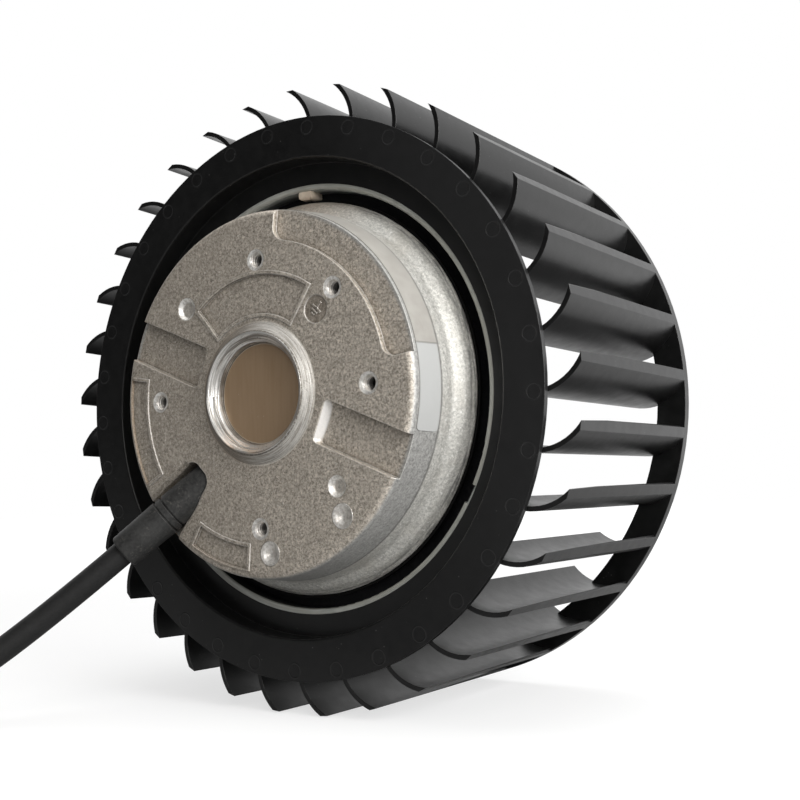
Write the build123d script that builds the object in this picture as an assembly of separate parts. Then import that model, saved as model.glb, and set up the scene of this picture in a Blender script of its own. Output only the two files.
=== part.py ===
from build123d import *
import math
import os

# Centrifugal fan on an external-rotor motor: a forward-curved drum impeller round the motor's cup.
# The motor axis is Y. The mounting flange's outer face is y = 0 and looks to -Y; the inlet is at +Y.
# Angles are seen from the flange side, looking along +Y: 0 is +X and 90 is +Z.
# The fan lies on the tips of its blades, so the floor is z = -tip_radius.
# Sizes build outwards and backwards from the flange: flange, cup, impeller.

# Mounting flange casting
flange_radius = 39.6
flange_edge = 1.5
wall_draft = 1.1
wall_end_y = 9.0
shoulder_step = 2.3
shoulder_height = 5.7
shoulder_rise = 2.1
shoulder_flare = 0.4
shoulder_round = 2.4
lip_step = 1.4
lip_height = 2.2
lip_edge = 0.3
face_plate = 4.2
side_wall = 2.9
crater_foot_radius = 15.4
crater_crest_radius = 12.9
crater_crest_flat = 0.3
crater_height = 1.9
bevel_depth = 0.2
tube_radius = 14.0
tube_shoulder = 1.5
tube_overhang = 3.5
cap_y = 1.2
cap_thickness = 1.2
cap_edge = 0.3

# Rotor
rim_gap = 2.9
rim_overlap = 0.8
rim_round = 0.9
cup_wall = 1.3
cup_corner = 8.0
rim_notch_angles = (-31.0, -26.0)
rim_notch_depth = 1.5
core_setback = 3.8
core_length = 17.0
air_gap = 0.4
cage_bar_count = 22
cage_ring_depth = 2.0
cage_ring_width = 6.6
bar_root = 1.2
bar_height = 5.0
bar_root_share = 0.34
bar_top_share = 0.4
cage_ring_inset = 0.2
shaft_radius = 4.0
shaft_chamfer = 0.5
shaft_inset = 0.5
cap_to_shaft = 0.6
bush_radius = 9.0
bush_flange_radius = 12.0
bush_flange_thickness = 2.2
bush_edge = 0.5
bush_stand = 1.5
tube_to_bush = 1.0
circlip_thickness = 0.7
circlip_width = 1.9
circlip_seat = 0.3
circlip_opening = 50.0
balance_tab_angle = 88.7
balance_tab_size = (3.6, 1.9, 4.2)
balance_tab_inset = 0.2
balance_tab_round = 0.9

# Impeller
recess_gap = 4.85
recess_depth = 5.3
recess_round = 0.4
blade_ledge = 3.35
blade_depth = 13.2
blade_count = 33
blade_phase = 7.73
blade_inlet_angle = 81.0
blade_outlet_angle = 148.4
blade_thickness = 1.0
blade_tip_thickness_far = 1.9
blade_end_step = 0.3
impeller_width = 60.2
plate_thickness = 1.35
plate_overlap = 5.9
sleeve_wall = 1.6
sleeve_length = 14.6
inlet_ring_thickness = 2.3
inlet_ring_width = 6.73

# Stator
stator_radius = 34.0
slot_count = 24
slot_root_radius = 19.5
tooth_tip = 1.4
tooth_slope = 1.0
slot_root_half = 1.1
slot_top_half = 2.5
slot_mouth_half = 0.9
insulator_thickness = 1.2
insulator_wall = 1.1
insulator_setback = 0.7
insulator_gap = 0.3
front_overhang = 7.8
rear_overhang = 5.4
slot_liner = 0.25
winding_round = 1.8

# Features of the flange's face
screw_circle_radius = 29.0
screw_core_radius = 1.65
screw_mouth_radius = 2.3
screw_mouth_depth = 0.25
screw_depth = 5.0
screw_angles = (0.0, 45.0, 90.0, 180.0, 270.0)
blind_cones = ((135.0, 2.5, 1.75, 0.8), (-45.0, 2.2, 1.2, 1.0))
ejector_marks = ((-50.8, 34.3), (-85.8, 34.3))
ejector_mark_radius = 2.6
ejector_mark_floor = 0.3
ejector_mark_depth = 0.7
boss_radius = 4.0
boss_height = 3.3
boss_root = 0.5
rib_angles = (22.5, 67.5, 112.5, 292.5, 337.5)
rib_thickness = 1.6
rib_height = 2.6
brand_pad = (17.2, 25.8, 57.4, 130.5)
side_pad = (33.5, 38.4, 171.5, 209.0)
lower_pad = (32.9, 37.8, -121.0, -96.0)
pad_depth = 0.5
pad_rim = 0.7
pad_rim_height = 0.25
earth_pad_radius = 3.0
earth_pad_place = (45.7, 23.0)
slot_width = 9.4
face_slot_angles = (157.5, -22.5)
face_slot_start = 17.4
face_slot_depth = 1.8
face_slot_lean = 1.3
face_slot_corner = 0.9
step_radius = 33.2
step_angles = (8.0, 82.0)
step_depth = 1.3
step_corner = 3.0

# Cable entry
cable_angle = -135.0
cable_tilt = 27.0
boot_cross_radius = 35.9
boot_cross_y = -1.4
boot_inner_reach = 20.5
boot_outer_reach = 47.5
boot_bore_margin = 4.0
boot_radius = 4.15
boot_end_radius = 3.9
boot_end_round = 0.5
boot_groove_width = 0.5
boot_groove_depth = 0.45
boot_band_width = 1.3
boot_band_step = 0.1
cable_radius = 2.8
boot_clearance = 0.1
notch_start = 22.9
notch_side_angles = (7.0, -10.5)
notch_corner = 2.8
notch_floor_drop = 4.9
notch_shell = 2.0
notch_bevel = 1.3
notch_bevel_start = 2.0
notch_to_windings = 1.7

# Bearings of bore 8, outside diameter 22 and width 7
bearing_outer_radius = 11.0
bearing_width = 7.0
ball_radius = 1.984
ball_count = 7
race_clearance = 0.05
inner_ring_wall = 2.05
outer_ring_wall = 1.7
shield_thickness = 0.3
shield_gap = 0.35
front_bearing_y = 4.5
rear_bearing_depth = 1.5
bearing_land = 0.7
collar_step = 0.45
cage_half_thickness = 0.6
cage_back = 0.9
cage_crown = 0.4
shield_inset = 0.2
spring_thickness = 0.4
spring_height = 1.3
spring_outer_gap = 0.2
spring_inner_gap = 0.4

# Small parts
press_gap = 0.01
label_thickness = 0.12
label_gap = 0.02
label_front_margin = 2.1
label_back_margin = 0.25
label_angles = (-14.5, 95.0)
label_corner = 1.0
seal_thickness = 1.0
seal_overhang = 0.6
seal_width = 2.8
lead_radius = 0.7
lead_offset = 1.6
lead_bend = 0.9
lead_step = 1.5
lead_rise = 3.0
lead_spreads = (7.0, 4.0, -5.0)
earth_screw_angle = 200.0
earth_screw_reach = 28.0
earth_screw_radius = 1.5
earth_screw_bite = 1.0
earth_head_radius = 2.8
earth_head_height = 2.0
earth_slot_width = 0.8
earth_slot_depth = 0.8
terminal_thickness = 0.8
terminal_radius = 3.6
terminal_eye_gap = 0.15
terminal_tail = 6.5
terminal_tail_half = 1.2
protector_size = (5.0, 10.0, 2.6)
protector_round = 1.0
protector_place = (30.0, 25.0)

# Free cable: points of its route on the way to the floor, and the flat coil that holds the rest
route_points = [
    (-56.33, -23.70, -56.33),
    (-65.07, -37.69, -63.5),
    (-68.6, -55.85, -67.2),
    (-69.9, -76.0, -67.2),
    (-69.6, -93.4, -67.2),
]
coil_centre = (-33.2, -92.8)
coil_turns = 2
coil_outer_line = 36.4
coil_opening = 90.0
coil_gap = 0.3
core_wire_radius = 0.75
core_wire_count = 4
core_wire_spread = 1.5
core_wire_gap = 0.4
core_fan = 1.5
core_bends = ((38.0, 1.3), (66.0, 7.5))
core_straight = 7.5
ferrule_radius = 1.05
ferrule_length = 8.0

# Radii that follow from those above, outwards from the flange
wall_end_radius = flange_radius + wall_draft
shoulder_radius = wall_end_radius + shoulder_step
lip_radius = shoulder_radius + lip_step
seal_radius = lip_radius + seal_overhang
cup_inner_radius = lip_radius + rim_gap
cup_radius = cup_inner_radius + cup_wall
hub_recess_radius = cup_radius + recess_gap
blade_inner_radius = hub_recess_radius + blade_ledge
plate_radius = blade_inner_radius + plate_overlap
tip_radius = blade_inner_radius + blade_depth
inlet_ring_inner_radius = tip_radius - inlet_ring_width
slot_mouth_radius = stator_radius - tooth_tip
slot_throat_radius = slot_mouth_radius - tooth_slope
insulator_outer_radius = stator_radius - insulator_setback
rotor_bore = stator_radius + air_gap
bearing_bore = bearing_outer_radius
pitch_radius = (shaft_radius + bearing_outer_radius) / 2
tube_land_radius = bearing_bore - outer_ring_wall - bearing_land
collar_radius = shaft_radius + inner_ring_wall - collar_step

# Places along the axis that follow, back from the flange's face
floor_z = -tip_radius
shoulder_y = wall_end_y + shoulder_height
lip_y = shoulder_y + lip_height
casting_end_y = lip_y + lip_edge
core_front_y = casting_end_y + core_setback
core_rear_y = core_front_y + core_length
windings_front_y = core_front_y - front_overhang
notch_shell_end = windings_front_y - notch_to_windings
earth_screw_tip_y = face_plate - earth_screw_bite
tube_end_y = core_rear_y + tube_overhang
shaft_front_y = cap_y + cap_thickness + cap_to_shaft
spring_y = front_bearing_y + bearing_width
tube_land_y = spring_y + spring_height
rear_bearing_y = tube_end_y - rear_bearing_depth - bearing_width
bush_start_y = rear_bearing_y + bearing_width
bush_flange_y = tube_end_y + tube_to_bush
cup_inner_end_y = bush_flange_y + bush_flange_thickness
cup_end_y = cup_inner_end_y + cup_wall
bush_end_y = cup_end_y + bush_stand
shaft_end_y = bush_end_y - shaft_inset
recess_floor_y = casting_end_y - rim_overlap
plate_face_y = recess_floor_y - recess_depth
plate_back_y = plate_face_y + plate_thickness
recess_back_y = recess_floor_y + plate_thickness
sleeve_end_y = recess_floor_y + sleeve_length
inlet_ring_end_y = plate_face_y + impeller_width
inlet_ring_start_y = inlet_ring_end_y - inlet_ring_thickness
blade_end_y = inlet_ring_end_y - blade_end_step

# The cable's slope, its coil, and how far cutters pass the faces that they cut
boot_slope = math.tan(math.radians(cable_tilt))
coil_inner_line = coil_outer_line - coil_turns * 2 * cable_radius
coil_start_angle = math.degrees(math.atan2(route_points[-1][1] - coil_centre[1], route_points[-1][0] - coil_centre[0]))
overrun = 1.0


def at(angle, shape):
    """Turn a shape drawn along +X to an angle seen from the flange side."""
    return Rot(0, -angle, 0) * shape


def outline(points, rounds=None):
    """A closed outline of straight sides, with some corners rounded by index."""
    sketch = Polygon(*points, align=None)
    for index, radius in (rounds or {}).items():
        corner = sketch.vertices().sort_by_distance(Vector(*points[index]))[0]
        sketch = fillet(corner, radius)
    return sketch


def turned(points, rounds=None):
    """Turn an outline of (radius, y) points about the motor axis."""
    return revolve(outline(points, rounds), Axis.Y, 360)


def ring(inner, outer, y0, y1):
    """A plain ring about the motor axis."""
    return turned([(inner, y0), (outer, y0), (outer, y1), (inner, y1)])


def sector(inner, outer, y0, y1, angle0, angle1):
    """Part of a ring, between two angles."""
    profile = outline([(inner, y0), (outer, y0), (outer, y1), (inner, y1)])
    return at(angle1, revolve(profile, Axis.Y, angle1 - angle0))


def plan(points, y0, y1, rounds=None):
    """A prism along the motor axis, from an outline of (x, z) points."""
    return Plane.XZ.offset(-y1) * extrude(outline(points, rounds), y1 - y0, dir=(0, 0, 1))


def drilled(radius, y0, y1, end_radius=None):
    """A round cutter along the motor axis, straight or tapered."""
    far = radius if end_radius is None else end_radius
    return turned([(0, y0), (radius, y0), (far, y1), (0, y1)])


def place(angle, reach, shape):
    """Move a shape drawn on the motor axis out to a reach and round to an angle."""
    return at(angle, Pos(reach, 0, 0) * shape)


def around(count, shape):
    """Copies of a shape, evenly spaced round the motor axis."""
    return [at(360.0 / count * index, shape) for index in range(count)]


def boot_line_y(reach):
    """Height of the cable entry's centre line at a distance from the motor axis."""
    return boot_cross_y - (reach - boot_cross_radius) * boot_slope


def entry_point(reach, side=0.0, y=None):
    """A point near the cable entry: distance from the motor axis, sideways offset and height."""
    height = boot_line_y(reach) if y is None else y
    angle = math.radians(cable_angle)
    x = reach * math.cos(angle) - side * math.sin(angle)
    z = reach * math.sin(angle) + side * math.cos(angle)
    return Vector(x, height, z)


def entry_offset(side, lift):
    """A step across the cable entry's centre line: round the motor axis, and towards the windings."""
    angle = math.radians(cable_angle)
    tilt = math.radians(cable_tilt)
    inward = Vector(math.cos(angle) * math.sin(tilt), math.cos(tilt), math.sin(angle) * math.sin(tilt))
    return Vector(-math.sin(angle) * side, 0, math.cos(angle) * side) + inward * lift


def polar(angle, reach, y):
    """A point by its angle and its distance from the motor axis."""
    return Vector(reach * math.cos(math.radians(angle)), y, reach * math.sin(math.radians(angle)))


def entry_frame(reach):
    """A plane across the cable entry's centre line, facing out along it."""
    outward = entry_point(boot_outer_reach) - entry_point(boot_inner_reach)
    return Plane(origin=entry_point(reach), z_dir=outward)


def entry_length(reach0, reach1):
    """Length along the cable entry's centre line between two distances from the motor axis."""
    return (reach1 - reach0) / math.cos(math.radians(cable_tilt))


# Mounting flange: a hollow die casting with the bearing tube, drilled bosses and the cable notch
def flange_shell():
    inner_wall = flange_radius - side_wall
    inner_end = lip_radius - side_wall
    points = [
        (bearing_bore, bevel_depth),
        (crater_crest_radius, -crater_height),
        (crater_crest_radius + crater_crest_flat, -crater_height),
        (crater_foot_radius, 0),
        (flange_radius, 0),
        (wall_end_radius, wall_end_y),
        (wall_end_radius + shoulder_flare, shoulder_y - shoulder_rise),
        (shoulder_radius, shoulder_y),
        (lip_radius, lip_y),
        (lip_radius, casting_end_y),
        (inner_end, casting_end_y),
        (inner_end, shoulder_y),
        (wall_end_radius + shoulder_flare - side_wall, shoulder_y - shoulder_rise),
        (inner_wall, face_plate),
        (tube_radius + tube_shoulder, face_plate),
        (tube_radius + tube_shoulder, core_front_y),
        (tube_radius, core_front_y),
        (tube_radius, tube_end_y),
        (bearing_bore, tube_end_y),
        (bearing_bore, rear_bearing_y),
        (tube_land_radius, rear_bearing_y),
        (tube_land_radius, tube_land_y),
        (bearing_bore, tube_land_y),
    ]
    return turned(points, {4: flange_edge, 6: shoulder_round})


def notch_wedge(drop, margin, depth_limit):
    """The cable notch's space above its sloping floor, or the shell round it."""
    start = notch_start - margin
    reach = 2 * flange_radius
    back = start - boot_radius
    side0 = math.tan(math.radians(notch_side_angles[0]))
    side1 = math.tan(math.radians(notch_side_angles[1]))
    points = [
        (start, start * side0 + margin),
        (reach, reach * side0 + margin),
        (reach, reach * side1 - margin),
        (start, start * side1 - margin),
    ]
    footprint = plan(points, -crater_height, depth_limit, {0: notch_corner, 3: notch_corner})
    low = boot_line_y(back) + drop
    top_reach = boot_cross_radius + (boot_cross_y + drop + crater_height) / boot_slope
    slope = Polygon((back, -crater_height), (top_reach, -crater_height), (back, low), align=None)
    return footprint & extrude(slope, flange_radius, both=True)


def pad_frame(pad):
    """The raised rim round a sunken pad of the face."""
    inner, outer, angle0, angle1 = pad
    swing = math.degrees(pad_rim / ((inner + outer) / 2))
    rim_outer = min(outer + pad_rim, flange_radius - flange_edge)
    return sector(inner - pad_rim, rim_outer, -pad_rim_height, pad_depth, angle0 - swing, angle1 + swing)


def face_slot():
    """Cutter for a radial slot whose inner end slopes down to its floor."""
    lean = face_slot_lean / face_slot_depth
    side = Polygon(
        (face_slot_start - lean * overrun, -overrun),
        (lip_radius, -overrun),
        (lip_radius, face_slot_depth),
        (face_slot_start + face_slot_lean, face_slot_depth),
        align=None,
    )
    cutter = extrude(side, slot_width / 2, both=True)
    slanted = cutter.edges().sort_by(Axis.X)[:3]
    ends = [edge for edge in slanted if abs(edge.tangent_at(0).Z) < 0.5]
    return fillet(ends, face_slot_corner)


def stator_flange():
    casting = flange_shell()
    boss = drilled(boss_radius, face_plate - boss_root, face_plate + boss_height)
    for angle in screw_angles:
        casting += place(angle, screw_circle_radius, boss)
    casting += place(earth_screw_angle, earth_screw_reach, boss)
    rib_start = tube_radius + tube_shoulder - boss_root
    rib_end = flange_radius - side_wall + boss_root
    half = rib_thickness / 2
    rib = plan([(rib_start, -half), (rib_end, -half), (rib_end, half), (rib_start, half)],
               face_plate - boss_root, face_plate + rib_height)
    for angle in rib_angles:
        casting += at(angle, rib)

    # The shell of the cable notch stands inside the casting, below the windings
    shell = notch_wedge(notch_floor_drop + notch_shell, notch_shell, notch_shell_end)
    shell = at(cable_angle, shell) & ring(tube_radius, flange_radius - boss_root, flange_edge + boss_root, notch_shell_end)
    casting += shell
    casting -= at(cable_angle, notch_wedge(notch_floor_drop, 0.0, notch_shell_end))
    bore_start = boot_inner_reach - boot_bore_margin
    bore = extrude(Circle(boot_radius + boot_clearance), entry_length(bore_start, boot_outer_reach))
    casting -= entry_frame(bore_start) * bore

    # A rough ground bevel along the notch's upper side
    edge = math.tan(math.radians(notch_side_angles[1]))
    bevel = loft([
        Plane(origin=(reach, 0, reach * edge), z_dir=(1, 0, edge)) * Rot(0, 0, 45) * Rectangle(notch_bevel, notch_bevel)
        for reach in (notch_start + notch_bevel_start, lip_radius)
    ])
    casting -= at(cable_angle, bevel)

    # Sunken pads with raised rims, radial slots and the stepped arc of the face
    for pad in (brand_pad, side_pad, lower_pad):
        casting += pad_frame(pad)
        casting -= sector(pad[0], pad[1], -overrun, pad_depth, pad[2], pad[3])
    casting -= place(*earth_pad_place, drilled(earth_pad_radius, -overrun, pad_depth / 2))
    slot = face_slot()
    for angle in face_slot_angles:
        casting -= at(angle, slot)
    step = sector(step_radius, lip_radius, -overrun, step_depth, *step_angles)
    corners = step.edges().filter_by(Axis.Y).sort_by(lambda edge: edge.center().X ** 2 + edge.center().Z ** 2)[:2]
    casting -= fillet(corners, step_corner)

    # Screw holes, blind cones and the round marks of the casting tool
    hole = drilled(screw_core_radius, -overrun, screw_depth)
    hole += drilled(screw_core_radius, screw_depth, screw_depth + screw_core_radius / 2, 0)
    mouth = screw_mouth_radius - screw_core_radius
    hole += drilled(screw_mouth_radius + mouth, -screw_mouth_depth, screw_mouth_depth, screw_core_radius)
    for angle in screw_angles:
        casting -= place(angle, screw_circle_radius, hole)
    for angle, mouth_radius, floor_radius, depth in blind_cones:
        casting -= place(angle, screw_circle_radius, drilled(mouth_radius, 0, depth, floor_radius))
    for angle, reach in ejector_marks:
        casting -= place(angle, reach, drilled(ejector_mark_radius, 0, ejector_mark_depth, ejector_mark_floor))
    seat = drilled(earth_screw_radius + press_gap, earth_screw_tip_y, face_plate + boss_height + overrun)
    return casting - place(earth_screw_angle, earth_screw_reach, seat)


def bearing_cap():
    radius = bearing_bore - press_gap
    return turned([(0, cap_y), (radius, cap_y), (radius, cap_y + cap_thickness), (0, cap_y + cap_thickness)],
                  {1: cap_edge})


def side_label():
    """The thin plate wrapped round the drafted side wall, with rounded corners."""
    y0 = label_front_margin
    y1 = wall_end_y - label_back_margin
    r0 = flange_radius + wall_draft * y0 / wall_end_y + label_gap
    r1 = flange_radius + wall_draft * y1 / wall_end_y + label_gap
    profile = outline([(r0, y0), (r0 + label_thickness, y0), (r1 + label_thickness, y1), (r1, y1)])
    label = at(label_angles[1], revolve(profile, Axis.Y, label_angles[1] - label_angles[0]))
    for angle, side in ((label_angles[0], 1), (label_angles[1], -1)):
        for y, up in ((y0, 1), (y1, -1)):
            label -= at(angle, corner_waste(y, up, side))
    return label


def corner_waste(y, up, side):
    """What rounding takes off one corner of the label, drawn along +X."""
    depth = 4 * side_wall
    square = Box(depth, label_corner, label_corner)
    circle = Rot(0, 90, 0) * Cylinder(label_corner, depth)
    near = Pos(flange_radius, y + up * label_corner / 2, side * label_corner / 2) * square
    return near - Pos(flange_radius, y + up * label_corner, side * label_corner) * circle


def seal_ring():
    return ring(seal_radius - seal_width, seal_radius, casting_end_y, casting_end_y + seal_thickness)


# Stator: laminated core, end insulators, windings and what is wired to them
def slot_outline(gap):
    """Half-open stator slot seen along the axis, drawn along +X and shrunk by a gap."""
    return [
        (slot_root_radius + gap, -slot_root_half + gap),
        (slot_throat_radius - gap, -slot_top_half + gap),
        (slot_throat_radius - gap, slot_top_half - gap),
        (slot_root_radius + gap, slot_root_half - gap),
    ]


def slot_cutters():
    beyond = stator_radius + overrun
    points = [
        (slot_root_radius, -slot_root_half),
        (slot_throat_radius, -slot_top_half),
        (slot_mouth_radius, -slot_mouth_half),
        (beyond, -slot_mouth_half),
        (beyond, slot_mouth_half),
        (slot_mouth_radius, slot_mouth_half),
        (slot_throat_radius, slot_top_half),
        (slot_root_radius, slot_root_half),
    ]
    return around(slot_count, plan(points, 0, tube_end_y + front_overhang))


def stator_core():
    return ring(tube_radius + press_gap, stator_radius, core_front_y, core_rear_y) - slot_cutters()


def end_insulator(face_y, side, bore, wall_height):
    """A moulded plate on the core's end, with an inner and an outer wall that hold the coil ends."""
    outer = insulator_outer_radius
    plate_y = face_y + side * insulator_thickness
    wall_y = plate_y + side * wall_height
    body = ring(bore, outer, *sorted((face_y, plate_y)))
    body += ring(bore, bore + insulator_wall, *sorted((face_y, wall_y)))
    body += ring(outer - insulator_wall, outer, *sorted((face_y, wall_y)))
    return body - slot_cutters()


def end_insulator_front():
    bore = tube_radius + tube_shoulder + insulator_gap
    return end_insulator(core_front_y, -1, bore, front_overhang - insulator_thickness)


def end_insulator_rear():
    return end_insulator(core_rear_y, 1, tube_radius + insulator_gap, rear_overhang - insulator_thickness)


def windings():
    wall = insulator_gap + insulator_wall + slot_liner
    inner_front = tube_radius + tube_shoulder + wall
    inner_rear = tube_radius + wall
    outer = insulator_outer_radius - insulator_wall - slot_liner
    front1 = core_front_y - insulator_thickness - slot_liner
    rear0 = core_rear_y + insulator_thickness + slot_liner
    rear1 = core_rear_y + rear_overhang
    body = turned([(inner_front, windings_front_y), (outer, windings_front_y), (outer, front1), (inner_front, front1)],
                  {1: winding_round})
    body += turned([(inner_rear, rear0), (outer, rear0), (outer, rear1), (inner_rear, rear1)], {2: winding_round})
    bar = plan(slot_outline(slot_liner), front1 - overrun, rear0 + overrun)
    return body + around(slot_count, bar)


def thermal_protector():
    angle, reach = protector_place
    length, width, height = protector_size
    capsule = Pos(reach, windings_front_y - height / 2, 0) * Box(length, height, width)
    capsule = fillet(capsule.edges().filter_by(Axis.Z), protector_round)
    return at(angle, capsule)


def tube(points, radii, radius):
    """A round wire along straight runs that are joined by arcs."""
    path = FilletPolyline(*points, radius=radii)
    start = Plane(origin=path @ 0, z_dir=path % 0)
    return sweep(start * Circle(radius), path=path)


def lead_wires():
    """Three leads run from the cable's inner end to the windings, and one to the earth terminal."""
    gap_reach = (tube_radius + tube_shoulder + boot_inner_reach) / 2
    bends = [lead_bend, lead_bend]
    wires = []
    for (side, lift), spread in zip(((lead_offset, 0), (0, lead_offset), (-lead_offset, 0)), lead_spreads):
        offset = entry_offset(side, lift)
        points = [
            entry_point(boot_inner_reach) + offset,
            entry_point(gap_reach) + offset,
            entry_point(gap_reach + lead_step, side + spread, windings_front_y - lead_rise),
            entry_point(gap_reach + lead_step, side + spread, windings_front_y),
        ]
        wires.append(tube(points, bends, lead_radius))
    offset = entry_offset(0, -lead_offset)
    tail_reach = earth_screw_reach - terminal_tail
    tail_y = face_plate + boss_height + terminal_thickness / 2
    points = [
        entry_point(boot_inner_reach) + offset,
        entry_point(gap_reach) + offset,
        polar(earth_screw_angle, tail_reach - lead_rise, tail_y),
        polar(earth_screw_angle, tail_reach, tail_y),
    ]
    wires.append(tube(points, bends, lead_radius))
    return wires


def earth_terminal():
    """A ring terminal under the earth screw."""
    seat_y = face_plate + boss_height
    bore = earth_screw_radius + terminal_eye_gap
    eye = ring(bore, terminal_radius, seat_y, seat_y + terminal_thickness)
    half = terminal_tail_half
    root = -(bore + terminal_radius) / 2
    tail = plan([(-terminal_tail, -half), (root, -half), (root, half), (-terminal_tail, half)],
                seat_y, seat_y + terminal_thickness)
    tail -= drilled(bore, seat_y - overrun, seat_y + overrun)
    return place(earth_screw_angle, earth_screw_reach, eye + tail)


def earth_screw():
    seat_y = face_plate + boss_height + terminal_thickness
    head_y = seat_y + earth_head_height
    screw = drilled(earth_head_radius, seat_y, head_y)
    screw += drilled(earth_screw_radius, earth_screw_tip_y, seat_y)
    side = earth_head_radius + overrun
    half = earth_slot_width / 2
    screw -= plan([(-side, -half), (side, -half), (side, half), (-side, half)], head_y - earth_slot_depth, head_y + overrun)
    return place(earth_screw_angle, earth_screw_reach, screw)


# Ball bearings and what holds them
def race_groove(y):
    return Pos(0, y, 0) * Rot(90, 0, 0) * Torus(pitch_radius, ball_radius + race_clearance)


def outer_ring(y0):
    inner = bearing_outer_radius - outer_ring_wall
    body = ring(inner, bearing_outer_radius - press_gap, y0, y0 + bearing_width)
    return body - race_groove(y0 + bearing_width / 2)


def inner_ring(y0):
    body = ring(shaft_radius + press_gap, shaft_radius + inner_ring_wall, y0, y0 + bearing_width)
    return body - race_groove(y0 + bearing_width / 2)


def balls(y0):
    one = Pos(pitch_radius, y0 + bearing_width / 2, 0) * Sphere(ball_radius)
    return around(ball_count, one)


def ball_cage(y0):
    """A crown cage with one round pocket for each ball."""
    middle = y0 + bearing_width / 2
    inner = pitch_radius - cage_half_thickness
    outer = pitch_radius + cage_half_thickness
    body = ring(inner, outer, middle - cage_back, middle + ball_radius + cage_crown)
    pocket = Pos(pitch_radius, middle, 0) * Rot(0, 90, 0) * Cylinder(ball_radius + race_clearance, 2 * ball_radius)
    return body - around(ball_count, pocket)


def shields(y0):
    inner = shaft_radius + inner_ring_wall + shield_gap
    outer = bearing_outer_radius - outer_ring_wall - press_gap
    near_y = y0 + shield_inset
    far_y = y0 + bearing_width - shield_inset
    return [ring(inner, outer, near_y, near_y + shield_thickness), ring(inner, outer, far_y - shield_thickness, far_y)]


def preload_spring():
    """A cone spring between the front bearing's outer ring and the tube's land."""
    outer = bearing_bore - spring_outer_gap
    inner = tube_land_radius + spring_inner_gap
    half = spring_thickness / 2
    return turned([(outer, spring_y), (outer, spring_y + spring_thickness), (inner + half, tube_land_y),
                   (inner, tube_land_y - half)])


# Rotor: steel cup with its core and cage, turning on the shaft
def rotor_cup():
    points = [
        (cup_inner_radius, recess_floor_y),
        (cup_radius, recess_floor_y),
        (cup_radius, cup_end_y),
        (bush_radius + press_gap, cup_end_y),
        (bush_radius + press_gap, cup_inner_end_y),
        (cup_inner_radius, cup_inner_end_y),
    ]
    cup = turned(points, {0: rim_round, 2: cup_corner, 5: cup_corner - cup_wall})
    notch = sector(cup_inner_radius - overrun, cup_radius + overrun, recess_floor_y - overrun,
                   recess_floor_y + rim_notch_depth, *rim_notch_angles)
    return cup - notch


def bar_outline(gap):
    root = rotor_bore + bar_root
    top = root + bar_height
    half_pitch = math.pi / cage_bar_count
    root_half = root * half_pitch * bar_root_share
    top_half = top * half_pitch * bar_top_share
    return [(root + gap, -root_half + gap), (top - gap, -top_half + gap),
            (top - gap, top_half - gap), (root + gap, root_half - gap)]


def rotor_core():
    body = ring(rotor_bore, cup_inner_radius - press_gap, core_front_y, core_rear_y)
    return body - around(cage_bar_count, plan(bar_outline(0.0), core_front_y - overrun, core_rear_y + overrun))


def rotor_cage():
    """Cast bars in the core's slots, joined by a ring at each end."""
    inner = rotor_bore + bar_root - cage_ring_inset
    outer = inner + cage_ring_width
    bars = around(cage_bar_count, plan(bar_outline(race_clearance), core_front_y - overrun, core_rear_y + overrun))
    cage = ring(inner, outer, core_front_y - cage_ring_depth, core_front_y)
    cage += ring(inner, outer, core_rear_y, core_rear_y + cage_ring_depth)
    return cage + bars


def shaft():
    groove_y = front_bearing_y - circlip_thickness
    points = [
        (0, shaft_front_y),
        (shaft_radius - shaft_chamfer, shaft_front_y),
        (shaft_radius - circlip_seat, groove_y),
        (shaft_radius - circlip_seat, front_bearing_y),
        (shaft_radius, front_bearing_y),
        (shaft_radius, shaft_end_y - shaft_chamfer),
        (shaft_radius - shaft_chamfer, shaft_end_y),
        (0, shaft_end_y),
    ]
    return turned(points)


def hub_bush():
    bore = shaft_radius + press_gap
    points = [
        (bore, bush_start_y),
        (collar_radius, bush_start_y),
        (collar_radius, bush_flange_y),
        (bush_flange_radius, bush_flange_y),
        (bush_flange_radius, cup_inner_end_y),
        (bush_radius, cup_inner_end_y),
        (bush_radius, bush_end_y),
        (bore, bush_end_y),
    ]
    return turned(points, {6: bush_edge})


def shaft_circlip():
    inner = shaft_radius - circlip_seat + press_gap
    y0 = front_bearing_y - circlip_thickness
    body = ring(inner, inner + circlip_width, y0, front_bearing_y)
    half = circlip_opening / 2
    return body - sector(0, bearing_bore, y0 - overrun, front_bearing_y + overrun, -half, half)


def balance_tab():
    width, depth, length = balance_tab_size
    start = cup_inner_radius - press_gap - depth
    end = cup_inner_radius + depth
    half = width / 2
    near_y = recess_floor_y + balance_tab_inset
    block = plan([(start, -half), (end, -half), (end, half), (start, half)], near_y, near_y + length)
    tab = block & drilled(cup_inner_radius - press_gap, 0, cup_end_y)
    inner_edges = tab.edges().sort_by(Axis.X)[:4]
    return at(balance_tab_angle, fillet(inner_edges, balance_tab_round))


# Impeller: one moulding, kept as the plate, its sleeve, the blades and the inlet ring, which meet face to face
def impeller_backplate():
    """The plate with the recess for the cup's rim."""
    wall = plate_thickness
    sleeve_inner = cup_radius + press_gap
    points = [
        (hub_recess_radius, plate_face_y),
        (plate_radius, plate_face_y),
        (plate_radius, plate_back_y),
        (hub_recess_radius + wall, plate_back_y),
        (hub_recess_radius + wall, recess_back_y),
        (sleeve_inner, recess_back_y),
        (sleeve_inner, recess_floor_y),
        (hub_recess_radius, recess_floor_y),
    ]
    return turned(points, {0: recess_round})


def impeller_sleeve():
    """The sleeve that grips the cup's wall."""
    inner = cup_radius + press_gap
    return ring(inner, inner + sleeve_wall, recess_back_y, sleeve_end_y)


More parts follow.
